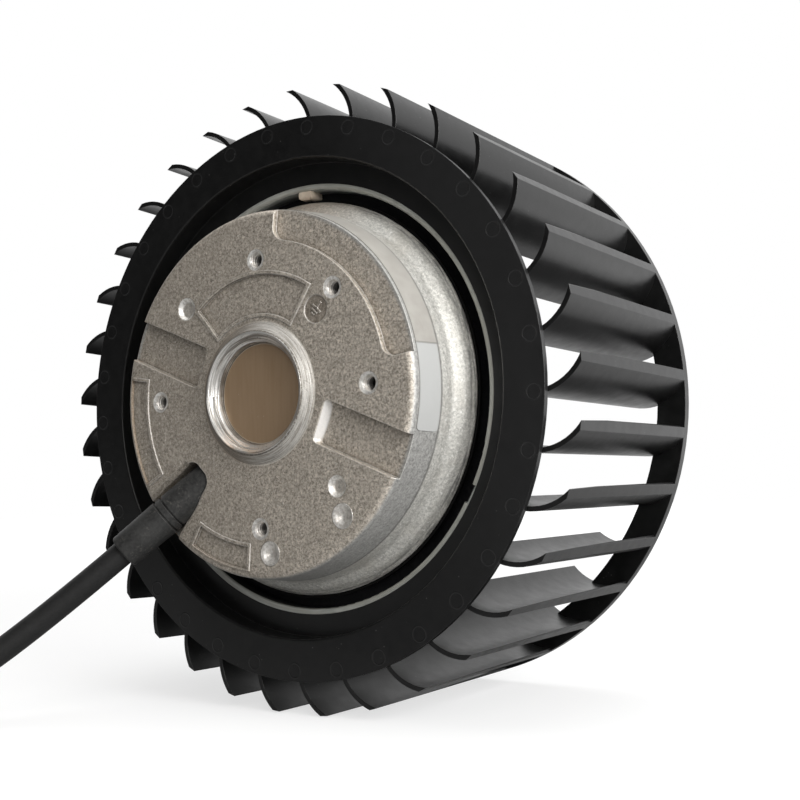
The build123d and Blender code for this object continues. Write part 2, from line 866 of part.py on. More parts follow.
def camber_arc():
    """Radius and centre of a blade's camber line, whose inner end lies on +X, from its two blade angles."""
    inlet = math.cos(math.radians(blade_inlet_angle))
    outlet = math.cos(math.radians(blade_outlet_angle))
    turn = blade_inner_radius * inlet - tip_radius * outlet
    radius = (tip_radius ** 2 - blade_inner_radius ** 2) / (2 * turn)
    tilt = math.radians(blade_inlet_angle)
    centre = Vector(blade_inner_radius + radius * math.cos(tilt), radius * math.sin(tilt))
    return radius, centre


def camber_angle(radius, centre, reach):
    """Angle about the camber arc's centre, in degrees, of its point at a distance from the motor axis."""
    square = centre.length ** 2 + radius ** 2 - reach ** 2
    centre_angle = math.degrees(math.atan2(centre.Y, centre.X))
    return 180 + centre_angle + math.degrees(math.acos(square / (2 * centre.length * radius)))


def impeller_blade():
    """One blade: an arc-shaped strip whose inner face leans, as moulded, so its tip thickens towards the inlet."""
    radius, centre = camber_arc()
    start = camber_angle(radius, centre, blade_inner_radius)
    end = camber_angle(radius, centre, tip_radius)
    far_angle = end + (end - start) / blade_thickness / radius
    convex = radius + blade_thickness / 2
    concave = radius - blade_thickness / 2
    corners = []
    for reach in (convex, concave - blade_tip_thickness_far):
        corners.append([centre + Vector(reach, 0).rotate(Axis.Z, angle) for angle in (start, (start + far_angle) / 2, far_angle)])
    outer, inner = corners
    edges = [ThreePointArc(*outer), Line(outer[2], inner[2]), ThreePointArc(*inner), Line(inner[0], outer[0])]
    strip = Plane.XZ.offset(-blade_end_y) * extrude(make_face(edges), blade_end_y - plate_back_y)

    growth = (blade_tip_thickness_far - blade_thickness) / math.sin(math.radians(end - start))
    lean = Vector(growth, 0).rotate(Axis.Z, start - 90)
    near = Vector(centre.X, plate_back_y, centre.Y)
    far = Vector(centre.X + lean.X, blade_end_y, centre.Y + lean.Y)
    along = (far - near).normalized()
    length = (far - near).length + 2 * overrun
    core = Plane(origin=near - along * overrun, z_dir=along) * extrude(Circle(concave), length)
    seat = ring(inlet_ring_inner_radius, tip_radius + overrun, inlet_ring_start_y, inlet_ring_end_y)
    return ((strip - core) & drilled(tip_radius, 0, inlet_ring_end_y)) - seat


def impeller_blades():
    one = at(blade_phase, impeller_blade())
    return around(blade_count, one)


def inlet_ring():
    return ring(inlet_ring_inner_radius, tip_radius, inlet_ring_start_y, inlet_ring_end_y)


# Cable: the boot in the flange's notch, the free cable and its coil on the floor
def cable_boot():
    length = entry_length(boot_inner_reach, boot_outer_reach)
    groove = entry_length(boot_inner_reach, boot_cross_radius)
    near = boot_band_width / 2
    far = near + boot_groove_width
    band = boot_radius - boot_band_step
    low = boot_radius - boot_groove_depth
    bore = cable_radius + press_gap
    points = [
        (bore, 0),
        (boot_radius, 0),
        (boot_radius, groove - far),
        (low, groove - far),
        (low, groove - near),
        (band, groove - near),
        (band, groove + near),
        (low, groove + near),
        (low, groove + far),
        (boot_radius, groove + far),
        (boot_end_radius, length),
        (bore, length),
    ]
    sleeve = revolve(outline(points, {10: boot_end_round}), Axis.Y, 360)
    upright = Rot(90, 0, 0) * sleeve
    return entry_frame(boot_inner_reach) * upright


def cable_in_boot():
    length = entry_length(boot_inner_reach, boot_outer_reach)
    return entry_frame(boot_inner_reach) * extrude(Circle(cable_radius), length)


def route_radii(points):
    """Corner radii of a laid cord: each arc as large as its two runs allow."""
    radii = []
    for before, corner, after in zip(points, points[1:], points[2:]):
        first = Vector(*corner) - Vector(*before)
        second = Vector(*after) - Vector(*corner)
        half_turn = math.radians(first.get_angle(second) / 2)
        radii.append(0.45 * min(first.length, second.length) / math.tan(half_turn))
    return radii


def cable_route():
    return [tuple(entry_point(boot_outer_reach))] + route_points


def cable(radius=cable_radius):
    points = cable_route()
    return tube(points, route_radii(points), radius)


def coil_point(angle, reach, z):
    x = coil_centre[0] + reach * math.cos(math.radians(angle))
    y = coil_centre[1] + reach * math.sin(math.radians(angle))
    return (x, y, z)


def cable_coil():
    """The outer shape of the flat coil, open where the incoming cable and the bared cores lie."""
    inner = coil_inner_line - cable_radius
    outer = coil_outer_line + cable_radius
    height = 2 * cable_radius
    body = Cylinder(outer, height) - Cylinder(inner, height)
    shelf = inner + height
    free = Plane.XZ * outline([(0, -height), (shelf, -height), (shelf, height), (0, height)])
    body -= Rot(0, 0, coil_start_angle) * revolve(free, Axis.Z, coil_opening)
    body = Pos(coil_centre[0], coil_centre[1], floor_z + cable_radius) * body
    return body - cable(cable_radius + coil_gap)


def core_route(index):
    """A bared core's way from the cable's cut end to the middle of the coil."""
    side = (index - (core_wire_count - 1) / 2) * core_wire_spread
    low = floor_z + ferrule_radius
    high = floor_z + cable_radius
    step = core_wire_radius + core_wire_gap / 2
    across = step if index > 1 else -step
    up = step if index % 2 else -step
    cut = Vector(*coil_point(coil_start_angle, coil_inner_line + across, high + up))
    forward = Vector(core_straight, 0, 0).rotate(Axis.Z, coil_start_angle + 90)
    (near_turn, near_inset), (far_turn, far_inset) = core_bends
    return [
        tuple(cut),
        tuple(cut + forward),
        coil_point(coil_start_angle + near_turn, coil_inner_line - near_inset + side, low),
        coil_point(coil_start_angle + far_turn, coil_inner_line - far_inset + side * core_fan, low),
    ]


def cable_cores():
    routes = [core_route(index) for index in range(core_wire_count)]
    return [tube(points, route_radii(points), core_wire_radius) for points in routes]


def core_ferrules():
    """A crimped sleeve on the end of each core."""
    sleeves = []
    for index in range(core_wire_count):
        points = [Vector(*point) for point in core_route(index)]
        along = (points[-1] - points[-2]).normalized()
        end = Plane(origin=points[-1], z_dir=along)
        sleeves.append(end * extrude(Circle(ferrule_radius), ferrule_length))
    return sleeves


pieces = {
    "stator_flange": stator_flange(),
    "bearing_cap": bearing_cap(),
    "side_label": side_label(),
    "seal_ring": seal_ring(),
    "stator_core": stator_core(),
    "end_insulator_front": end_insulator_front(),
    "end_insulator_rear": end_insulator_rear(),
    "windings": windings(),
    "thermal_protector": thermal_protector(),
    "lead_wires": lead_wires(),
    "earth_terminal": earth_terminal(),
    "earth_screw": earth_screw(),
    "preload_spring": preload_spring(),
    "rotor_cup": rotor_cup(),
    "rotor_core": rotor_core(),
    "rotor_cage": rotor_cage(),
    "shaft": shaft(),
    "hub_bush": hub_bush(),
    "shaft_circlip": shaft_circlip(),
    "balance_tab": balance_tab(),
    "impeller_backplate": impeller_backplate(),
    "impeller_sleeve": impeller_sleeve(),
    "impeller_blades": impeller_blades(),
    "inlet_ring": inlet_ring(),
    "cable_boot": cable_boot(),
    "cable_in_boot": cable_in_boot(),
    "cable": cable(),
    "cable_coil": cable_coil(),
    "cable_cores": cable_cores(),
    "core_ferrules": core_ferrules(),
}
for place_name, bearing_y in (("front", front_bearing_y), ("rear", rear_bearing_y)):
    pieces[f"bearing_{place_name}_outer_ring"] = outer_ring(bearing_y)
    pieces[f"bearing_{place_name}_inner_ring"] = inner_ring(bearing_y)
    pieces[f"bearing_{place_name}_balls"] = balls(bearing_y)
    pieces[f"bearing_{place_name}_cage"] = ball_cage(bearing_y)
    pieces[f"bearing_{place_name}_shields"] = shields(bearing_y)

route = cable_route()
radii = route_radii(route)
path_length = FilletPolyline(*route, radius=radii).length
print("cable corner radii:", [round(radius, 1) for radius in radii])
print("cable volume:", round(pieces["cable"].volume, 1), "section x length:",
      round(math.pi * cable_radius ** 2 * path_length, 1))

os.makedirs("parts", exist_ok=True)
for name, shape in pieces.items():
    shapes = shape if isinstance(shape, list) else [shape]
    solids = [solid for one in shapes for solid in one.solids()]
    node = Compound(solids) if len(solids) > 1 else solids[0]
    export_step(node, f"parts/{name}.step")
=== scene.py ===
import math

import bpy
from mathutils import Matrix, Vector


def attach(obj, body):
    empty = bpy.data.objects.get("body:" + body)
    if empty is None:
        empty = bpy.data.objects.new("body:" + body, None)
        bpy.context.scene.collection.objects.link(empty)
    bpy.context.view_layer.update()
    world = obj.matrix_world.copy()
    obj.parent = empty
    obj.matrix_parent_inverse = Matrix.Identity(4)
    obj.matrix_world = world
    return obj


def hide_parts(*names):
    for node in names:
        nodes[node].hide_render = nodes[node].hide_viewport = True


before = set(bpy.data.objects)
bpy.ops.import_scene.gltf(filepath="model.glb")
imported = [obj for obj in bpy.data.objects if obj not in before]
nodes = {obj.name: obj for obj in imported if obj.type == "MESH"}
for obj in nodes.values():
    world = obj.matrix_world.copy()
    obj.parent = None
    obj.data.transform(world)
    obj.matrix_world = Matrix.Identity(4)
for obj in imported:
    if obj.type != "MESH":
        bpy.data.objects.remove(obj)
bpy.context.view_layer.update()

# Sizes of the model, in metres; angles are in degrees, seen from the flange side
MM = 0.001
FLOOR_Z = -70.0 * MM
FLANGE_RADIUS = 39.6 * MM
CREASE_Y = 9.1 * MM
LIP_Y = 16.0 * MM
BORE_RADIUS = 11.0 * MM
BORE_DEPTH = 1.7 * MM
CREST_RADIUS = 12.95 * MM
CRATER_RADIUS = 15.5 * MM
SLOT_ANGLES = (157.5, -22.5)
SLOT_END = 17.9 * MM
SLOT_LEAN = 1.3 * MM
SLOT_HALF_WIDTH = 5.8 * MM
SCREW_ANGLES = (0.0, 45.0, 90.0, 180.0, 270.0)
SCREW_CIRCLE = 29.0 * MM
SCREW_CORE = 1.65 * MM
SCREW_MOUTH = 2.3 * MM
BLIND_CONES = ((135.0, 2.5 * MM), (-45.0, 2.2 * MM))
EJECTOR_MARKS = ((-50.8, 34.3 * MM), (-85.8, 34.3 * MM))
EJECTOR_RADIUS = 2.6 * MM
EARTH_ANGLE = 45.7
EARTH_REACH = 23.0 * MM
EARTH_PAD_RADIUS = 2.8 * MM
LABEL_DIVIDER = 10.9
LABEL_FRONT = 2.1 * MM
LABEL_BACK = 8.75 * MM
CUP_RIM_Y = 16.4 * MM
CUP_INNER = 47.30 * MM
BLADE_COUNT = 33
BLADE_PHASE = 7.73
PLATE_MARK_REACH = 60.3 * MM
PLATE_MARK_RADIUS = 1.6 * MM

# Distances from one line to the next: turning, the stacked sheets, the turns of wire
TURNING_PITCH = 0.24 * MM
EJECTOR_PITCH = 0.85 * MM
BORE_PITCH = 0.55 * MM
SHEET_PITCH = 0.5 * MM
WIRE_PITCH = 0.55 * MM
SHADER_SAMPLES = 6

# Screw thread: a ridge whose foot is sunk a little into the wall
THREAD_PITCH = 0.7 * MM
THREAD_TURNS = 5.5
THREAD_STEPS = 28
THREAD_START = 0.5 * MM
THREAD_HEIGHT = 0.24 * MM
THREAD_SINK = 0.03 * MM
THREAD_FOOT = 0.26 * MM
THREAD_TIP = 0.05 * MM

# Earth sign, in millimetres: each bar by its place outward, half its width across and half its height.
# Its foot and top are given by their depth behind the face and how far they spread
EARTH_BARS = ((1.05, 0.19, 0.85), (0.20, 1.30, 0.19), (-0.55, 0.85, 0.17), (-1.25, 0.42, 0.16))
EARTH_FOOT = (0.30, 0.10)
EARTH_TOP = (0.03, 0.0)

# The cable's route to the floor, then the flat coil outside the view, in millimetres
CABLE_RADIUS = 2.8
CABLE_EXIT = (-33.588, -7.310, -33.588)
CABLE_POINTS = (
    (-56.33, -23.70, -56.33),
    (-65.07, -37.69, -63.5),
    (-68.6, -55.85, -67.2),
    (-69.9, -76.0, -67.2),
)
COIL_START = (-69.6, -93.4)
COIL_HEIGHT = -67.2
COIL_CENTRE = (-33.2, -92.8)
COIL_OUTER_LINE = 36.4
COIL_TURNS = 2
COIL_STEPS = 16

# The photograph's camera, found from the circles of the flange and the impeller
CAMERA_PLACE = (160.8, -188.55, -22.4)
CAMERA_FORWARD = (-0.5486, 0.8321, 0.0812)
CAMERA_UP = (0.0690, -0.0517, 0.9963)
CAMERA_LENS = 51.77
CAMERA_SENSOR = 36.0

# The studio, in metres. The floor and the room are brightest for rays towards BRIGHT_SIDE, behind the fan
BRIGHT_SIDE = (0.35, 0.93, 0.1)
FLOOR_SIZE = 3.0
FLOOR_DROP = 0.05 * MM
FLOOR_COLOUR = (0.36, 0.36, 0.36)
FLOOR_NEAR = 0.25
FLOOR_FAR = 1.2
FLOOR_LIFT = 0.66
GLOSS_NEAR = 0.10
GLOSS_FAR = 0.75
FLOOR_GLOSS = 0.18
ROOM_GLOSS = 0.06
ROOM_LIGHT = 0.36
WHITE = (1.0, 1.0, 1.0)
LAMP_AIM = (0.0, 0.03, 0.0)

# Each lamp by its name, place, width, power in watts and colour
LAMPS = (
    ("top_light", (0.05, 0.10, 0.90), 0.80, 4.8, WHITE),
    ("key_light", (0.72, -0.10, 0.20), 0.40, 6.0, WHITE),
    ("front_light", (0.75, -0.70, 0.50), 0.80, 5.6, (1.0, 0.98, 0.95)),
)

# How noise is scaled along each axis of the model; it is drawn out along the smallest number
NO_STRETCH = (1.0, 1.0, 1.0)
SCRATCH_STRETCH = (1.9, 1.0, 0.22)
FIBRE_STRETCH = (1.0, 0.22, 1.0)
CAP_STRETCH = (1.4, 1.0, 0.12)
TURNED_STRETCH = (1.0, 8.0, 1.0)

# Tones of the casting's skin
CAST_DARK = (0.165, 0.146, 0.118)
CAST_LIGHT = (0.80, 0.725, 0.63)
CAST_CLOUD = (0.46, 0.41, 0.35)
CAST_LEFT_SHADE = (0.22, 0.192, 0.158)
CAST_FLECK = (0.90, 0.86, 0.79)
CAST_PIT = (0.120, 0.102, 0.080)
CAST_SCRATCH = (0.78, 0.73, 0.65)
PATCH_DARK = (0.24, 0.212, 0.175)
PATCH_PALE = (0.64, 0.585, 0.51)

# Tones of the casting's side wall and shoulder
DRAFT_DARK = (0.27, 0.268, 0.258)
DRAFT_LIGHT = (0.52, 0.518, 0.50)
SHOULDER_DARK = (0.43, 0.425, 0.395)
SHOULDER_LIGHT = (0.83, 0.82, 0.775)
SHOULDER_CLOUD = (0.52, 0.49, 0.43)
SHOULDER_SPARKLE = (0.96, 0.955, 0.93)
CREASE_DARK = (0.10, 0.095, 0.09)
LIP_LINE = (0.10, 0.10, 0.10)
WARM_DARK = (0.24, 0.195, 0.15)
WARM_LIGHT = (0.62, 0.54, 0.45)

# Tones of the casting's wear, with painted shade for its corners and a painted highlight for its edges
CORNER_SHADE = (0.075, 0.058, 0.044)
EDGE_WORN_AND_LIT = (0.80, 0.775, 0.73)
EDGE_COPPER = (0.50, 0.36, 0.24)

# Tones of the crater's turned crest and bore
CREST_DARK = (0.40, 0.385, 0.36)
CREST_LIGHT = (0.80, 0.79, 0.765)
CREST_LINE = (0.14, 0.125, 0.105)
CREST_GOLD_REFLECTION = (0.62, 0.40, 0.22)
BORE_GROOVE = (0.15, 0.125, 0.10)

# Tones of the casting's slots, pads, holes and the ground slope round the crater
SLOT_END_LIT = (0.90, 0.89, 0.87)
PAD_DARK = (0.17, 0.135, 0.10)
GROUND_DARK = (0.24, 0.228, 0.205)
GROUND_LIGHT = (0.56, 0.55, 0.525)
SLOPE_SHADE_DARK = (0.07, 0.055, 0.042)
SLOPE_SHADE_LIGHT = (0.26, 0.225, 0.185)
MOUTH_DARK = (0.60, 0.575, 0.54)
MOUTH_LIGHT = (0.95, 0.935, 0.90)
HOLE_SHADE = (0.02, 0.017, 0.014)
SEAM_DARK = (0.10, 0.085, 0.068)
OUTLINE_PALE = (0.80, 0.77, 0.71)
OUTLINE_SHADED = (0.46, 0.38, 0.30)

# Tones of the zinc-coated cup
ZINC_DARK = (0.44, 0.465, 0.445)
ZINC_LIGHT = (0.60, 0.62, 0.59)
ZINC_SPANGLE = (0.54, 0.55, 0.52)
ZINC_EDGE_HIGHLIGHT = (0.62, 0.625, 0.58)
CUP_WALL_LIT_DARK = (0.60, 0.635, 0.60)
CUP_WALL_LIT_LIGHT = (0.80, 0.825, 0.775)
CUP_STREAK = (0.10, 0.115, 0.125)
CUP_DEEP_SHADE = (0.05, 0.060, 0.070)
CUP_LOW_SHADE = (0.004, 0.004, 0.005)
CUP_RIM = (0.40, 0.395, 0.355)

# Tones of the impeller
NYLON_DARK = (0.0030, 0.0030, 0.0031)
NYLON_LIGHT = (0.0052, 0.0052, 0.0052)
NYLON_DUST = (0.16, 0.155, 0.15)
NYLON_EDGE_HIGHLIGHT = (0.060, 0.058, 0.055)
PLATE_MARK = (0.024, 0.024, 0.024)
PLATE_LIT_RIGHT = (0.0125, 0.0125, 0.0128)

# Tones of dusty rubber
RUBBER_DUST = (0.15, 0.14, 0.125)
RUBBER_EDGE = (0.085, 0.082, 0.078)

# Tones of the brown cap
CAP_DARK = (0.310, 0.214, 0.130)
CAP_LIGHT = (0.338, 0.238, 0.150)
CAP_SPECK = (0.48, 0.42, 0.35)
CAP_EDGE = (0.62, 0.56, 0.48)

# Tones of the plate on the side wall
LABEL_DARK = (0.325, 0.310, 0.284)
LABEL_LIGHT = (0.362, 0.348, 0.320)
LABEL_LOWER = (0.405, 0.408, 0.400)
LABEL_LINE = (0.14, 0.135, 0.125)
LABEL_SCUFF = (0.26, 0.24, 0.21)
LABEL_EDGE = (0.24, 0.235, 0.22)

# Tones of the screw threads
THREAD_DARK = (0.55, 0.51, 0.46)
THREAD_LIGHT = (0.84, 0.81, 0.77)

# Tones of the stator's core and windings
SHEET_DARK = (0.05, 0.05, 0.052)
SHEET_LIGHT = (0.23, 0.235, 0.245)
RUST = (0.16, 0.085, 0.045)
COPPER_DARK = (0.11, 0.035, 0.014)
COPPER_LIGHT = (0.52, 0.21, 0.085)


def polar(angle, reach):
    """A point on the plane of the flange's face, by its angle and its distance from the motor axis."""
    return Vector((reach * math.cos(math.radians(angle)), 0.0, reach * math.sin(math.radians(angle))))


def lighter(colour, gain):
    return tuple(min(1.0, gain * part) for part in colour)


def link(name, data):
    thing = bpy.data.objects.new(name, data)
    bpy.context.scene.collection.objects.link(thing)
    return thing


# Camera
def make_camera():
    data = bpy.data.cameras.new("camera")
    data.lens = CAMERA_LENS
    data.sensor_width = CAMERA_SENSOR
    data.clip_start = 0.01
    camera = link("camera", data)
    back = -Vector(CAMERA_FORWARD).normalized()
    right = Vector(CAMERA_UP).cross(back).normalized()
    up = back.cross(right)
    turn = Matrix((right, up, back)).transposed().to_4x4()
    camera.matrix_world = Matrix.Translation(Vector(CAMERA_PLACE) * MM) @ turn
    bpy.context.scene.camera = camera


# Cable: one smooth curve from the boot to the floor and round the coil
def cable_route():
    points = [CABLE_EXIT, *CABLE_POINTS]
    start = math.atan2(COIL_START[1] - COIL_CENTRE[1], COIL_START[0] - COIL_CENTRE[0])
    for step in range(COIL_TURNS * COIL_STEPS + 1):
        share = step / COIL_STEPS
        reach = COIL_OUTER_LINE - 2 * CABLE_RADIUS * share
        angle = start + 2 * math.pi * share
        along = COIL_CENTRE[0] + reach * math.cos(angle)
        across = COIL_CENTRE[1] + reach * math.sin(angle)
        points.append((along, across, COIL_HEIGHT))
    return points


def make_cable():
    points = cable_route()
    data = bpy.data.curves.new("power_cable", "CURVE")
    data.dimensions = "3D"
    data.bevel_depth = 1.0
    data.bevel_resolution = 6
    data.resolution_u = 12
    data.use_fill_caps = True
    spline = data.splines.new("NURBS")
    spline.points.add(len(points) - 1)
    for place, point in zip(spline.points, points):
        place.co = (*(part * MM for part in point), 1.0)
        place.radius = CABLE_RADIUS * MM
    spline.order_u = 3
    spline.use_endpoint_u = True
    cable = link("power_cable", data)
    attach(cable, "stator")
    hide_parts("cable", "cable_coil")
    return cable


make_camera()
power_cable = make_cable()


class Graph:
    """Builds a node tree in small steps. Values are sockets or plain numbers; lengths are metres."""

    def __init__(self, tree):
        self.tree = tree

    def node(self, kind, **settings):
        made = self.tree.nodes.new(kind)
        for name, value in settings.items():
            setattr(made, name, value)
        return made

    def feed(self, socket, value):
        if isinstance(value, bpy.types.NodeSocket):
            self.tree.links.new(value, socket)
        elif isinstance(value, tuple) and len(value) == 3 and socket.type == "RGBA":
            socket.default_value = (*value, 1.0)
        else:
            socket.default_value = value

    def math(self, operation, *values, clamp=False):
        made = self.node("ShaderNodeMath", operation=operation, use_clamp=clamp)
        for socket, value in zip(made.inputs, values):
            self.feed(socket, value)
        return made.outputs[0]

    def chain(self, operation, first, *others):
        for other in others:
            first = self.math(operation, first, other)
        return first

    def times(self, *values):
        return self.chain("MULTIPLY", *values)

    def plus(self, *values):
        return self.chain("ADD", *values)

    def most(self, *values):
        return self.chain("MAXIMUM", *values)

    def minus(self, value, less, clamp=False):
        return self.math("SUBTRACT", value, less, clamp=clamp)

    def without(self, mask):
        """1 where the mask is 0, and 0 where it is 1."""
        return self.minus(1.0, mask)

    def vector(self, operation, a, b=(0.0, 0.0, 0.0)):
        made = self.node("ShaderNodeVectorMath", operation=operation)
        self.feed(made.inputs[0], a)
        self.feed(made.inputs[1], b)
        is_number = operation in ("LENGTH", "DISTANCE", "DOT_PRODUCT")
        return made.outputs["Value"] if is_number else made.outputs[0]

    def join(self, x, y, z):
        made = self.node("ShaderNodeCombineXYZ")
        for socket, value in zip(made.inputs, (x, y, z)):
            self.feed(socket, value)
        return made.outputs[0]

    def span(self, value, low, high, out_low=0.0, out_high=1.0):
        """Maps low..high to out_low..out_high, smoothly and clamped."""
        made = self.node("ShaderNodeMapRange", interpolation_type="SMOOTHSTEP")
        for socket, number in zip(made.inputs, (value, low, high, out_low, out_high)):
            self.feed(socket, number)
        return made.outputs[0]

    def band(self, value, middle, wide, narrow):
        """1 within narrow of the middle, 0 beyond wide."""
        return self.span(self.math("ABSOLUTE", self.minus(value, middle)), wide, narrow)

    def ripple(self, value, pitch):
        """A wave from -1 to 1 that repeats at each pitch."""
        return self.math("SINE", self.times(value, 2 * math.pi / pitch))


class Shade(Graph):
    """One procedural material."""

    def __init__(self, name, roughness=0.5, metallic=0.0, specular=0.5, coat=0.0, coat_roughness=0.2):
        self.material = bpy.data.materials.new(name)
        self.material.use_nodes = True
        super().__init__(self.material.node_tree)
        self.shader = self.tree.nodes["Principled BSDF"]
        self.shader.inputs["Roughness"].default_value = roughness
        self.shader.inputs["Metallic"].default_value = metallic
        self.shader.inputs["Specular IOR Level"].default_value = specular
        self.shader.inputs["Coat Weight"].default_value = coat
        self.shader.inputs["Coat Roughness"].default_value = coat_roughness
        self.place = self.node("ShaderNodeTexCoord").outputs["Object"]

    def axes(self):
        made = self.node("ShaderNodeSeparateXYZ")
        self.feed(made.inputs[0], self.place)
        return made.outputs

    def depth(self):
        """Distance behind the flange's face, along the motor axis."""
        return self.axes()[1]

    def face_place(self):
        """The place as seen along the motor axis."""
        x, _, z = self.axes()
        return self.join(x, 0.0, z)

    def reach(self):
        """Distance from the motor axis."""
        return self.vector("LENGTH", self.face_place())

    def turn(self):
        """Angle about the motor axis in radians, seen from the flange side."""
        x, _, z = self.axes()
        return self.math("ARCTAN2", z, x)

    def near(self, angle, reach):
        """Distance across the face from a point given by angle and reach."""
        return self.vector("DISTANCE", self.face_place(), tuple(polar(angle, reach)))

    def noise(self, size, detail=3.0, roughness=0.55, distortion=0.0, place=None):
        """Cloudy noise from 0 to 1 whose features are about size across."""
        made = self.node("ShaderNodeTexNoise")
        self.feed(made.inputs["Vector"], place or self.place)
        made.inputs["Scale"].default_value = 1.0 / size
        made.inputs["Detail"].default_value = detail
        made.inputs["Roughness"].default_value = roughness
        made.inputs["Distortion"].default_value = distortion
        return made.outputs["Fac"]

    def stretched(self, size, stretch, detail):
        """Noise that is drawn out along the axes whose stretch is below 1."""
        return self.noise(size, detail, place=self.vector("MULTIPLY", self.place, stretch))

    def ring_noise(self, across, size, sweep, detail, depth=0.0):
        """Noise in lines round the motor axis, of the given size in the measure that crosses them."""
        place = self.join(self.math("DIVIDE", across, size), self.times(self.turn(), sweep), depth)
        return self.noise(1.0, detail, place=place)

    def cells(self, size, feature="F1"):
        """Distance from the nearest of many scattered points."""
        made = self.node("ShaderNodeTexVoronoi", feature=feature)
        self.feed(made.inputs["Vector"], self.place)
        made.inputs["Scale"].default_value = 1.0 / size
        return made.outputs["Distance"]

    def specks(self, size, outer, inner, cluster, low, high):
        """Scattered dots, kept only where a broader noise is high."""
        return self.times(self.span(self.cells(size), outer, inner), self.span(cluster, low, high))

    def edges(self, radius, low=0.02, high=0.35):
        """1 along sharp edges, 0 on flat ground."""
        bevel = self.node("ShaderNodeBevel", samples=SHADER_SAMPLES)
        bevel.inputs["Radius"].default_value = radius
        geometry = self.node("ShaderNodeNewGeometry")
        flat = self.vector("DOT_PRODUCT", bevel.outputs[0], geometry.outputs["Normal"])
        return self.span(self.without(flat), low, high)

    def occlusion_shade(self, distance):
        """1 deep in corners and narrow gaps, 0 on open ground: ambient occlusion, for painted shade."""
        made = self.node("ShaderNodeAmbientOcclusion", samples=SHADER_SAMPLES)
        made.inputs["Distance"].default_value = distance
        return self.span(made.outputs["AO"], 0.92, 0.45)

    def mix(self, share, a, b):
        made = self.node("ShaderNodeMix", data_type="RGBA", blend_type="MIX")
        self.feed(made.inputs["Factor"], share)
        self.feed(made.inputs[6], a)
        self.feed(made.inputs[7], b)
        return made.outputs[2]

    def ramp(self, value, dark, light, low=0.3, high=0.7):
        """From the dark to the light colour as the value goes from low to high."""
        return self.mix(self.span(value, low, high), dark, light)

    def lay(self, tone, colour, mask, share=1.0):
        """The tone with a colour laid over it by share where the mask is 1."""
        return self.mix(self.times(mask, share), tone, colour)

    def relief(self, height, distance, rounding=None):
        """Sends a height (in units of distance) to the shader as bump, over rounded edges if asked."""
        bump = self.node("ShaderNodeBump")
        bump.inputs["Strength"].default_value = 1.0
        bump.inputs["Distance"].default_value = distance
        self.feed(bump.inputs["Height"], height)
        if rounding:
            bevel = self.node("ShaderNodeBevel", samples=SHADER_SAMPLES)
            bevel.inputs["Radius"].default_value = rounding
            self.feed(bump.inputs["Normal"], bevel.outputs[0])
        self.feed(self.shader.inputs["Normal"], bump.outputs[0])

    def colour(self, value):
        self.feed(self.shader.inputs["Base Color"], value)

    def rough(self, value):
        self.feed(self.shader.inputs["Roughness"], value)

    def metal(self, value):
        self.feed(self.shader.inputs["Metallic"], value)


# The flange's material, in parts
def cast_skin(s, cloud, grain, fleck, pits):
    """The tumbled skin: grainy warm grey, painted shade to the left, flecks, pits, scratches and patches.
    """
    x = s.axes()[0]
    scratch = s.stretched(1.2 * MM, SCRATCH_STRETCH, detail=4)
    patch = s.noise(2.6 * MM, detail=6, roughness=0.7, distortion=1.2)
    tone = s.ramp(grain, CAST_DARK, CAST_LIGHT, 0.32, 0.68)
    tone = s.lay(tone, CAST_CLOUD, s.span(cloud, 0.35, 0.75), 0.30)
    # Painted shade: the face is darker towards the left
    tone = s.lay(tone, CAST_LEFT_SHADE, s.span(x, 30 * MM, -38 * MM), 0.34)
    tone = s.lay(tone, CAST_FLECK, fleck, 0.45)
    tone = s.lay(tone, CAST_PIT, pits, 0.32)
    tone = s.lay(tone, CAST_SCRATCH, s.span(scratch, 0.58, 0.70), 0.28)
    tone = s.lay(tone, PATCH_DARK, s.span(patch, 0.50, 0.66), 0.42)
    return s.lay(tone, PATCH_PALE, s.span(patch, 0.44, 0.34), 0.35)


def cast_side(s, cloud, grain, fleck):
    """The side wall and the shoulder behind its crease, both paler and cooler than the face."""
    x, y, z = s.axes()
    draft = s.ramp(grain, DRAFT_DARK, DRAFT_LIGHT, 0.32, 0.68)
    shoulder = s.ramp(grain, SHOULDER_DARK, SHOULDER_LIGHT, 0.32, 0.68)
    shoulder = s.lay(shoulder, SHOULDER_CLOUD, s.span(cloud, 0.45, 0.7), 0.35)
    tone = s.mix(s.span(y, CREASE_Y - 0.3 * MM, CREASE_Y + 0.6 * MM), draft, shoulder)
    sparkle = s.times(fleck, s.span(y, CREASE_Y, CREASE_Y + 1.0 * MM))
    tone = s.lay(tone, SHOULDER_SPARKLE, sparkle, 0.65)
    # A darker line along the crease
    tone = s.lay(tone, CREASE_DARK, s.band(y, CREASE_Y, 0.45 * MM, 0.1 * MM), 0.55)

    # Coarse turning lines at the lip, and a warm tone at the top left
    lines = s.span(s.ring_noise(y, 0.7 * MM, 5.0, detail=5), 0.45, 0.62)
    lip = s.span(y, LIP_Y - 1.2 * MM, LIP_Y + 0.4 * MM)
    tone = s.lay(tone, LIP_LINE, s.times(lines, lip), 0.8)
    top_left = s.times(s.span(z, 22 * MM, 40 * MM), s.span(x, 24 * MM, 4 * MM))
    warm = s.ramp(grain, WARM_DARK, WARM_LIGHT)
    return s.lay(tone, warm, top_left, 0.75)


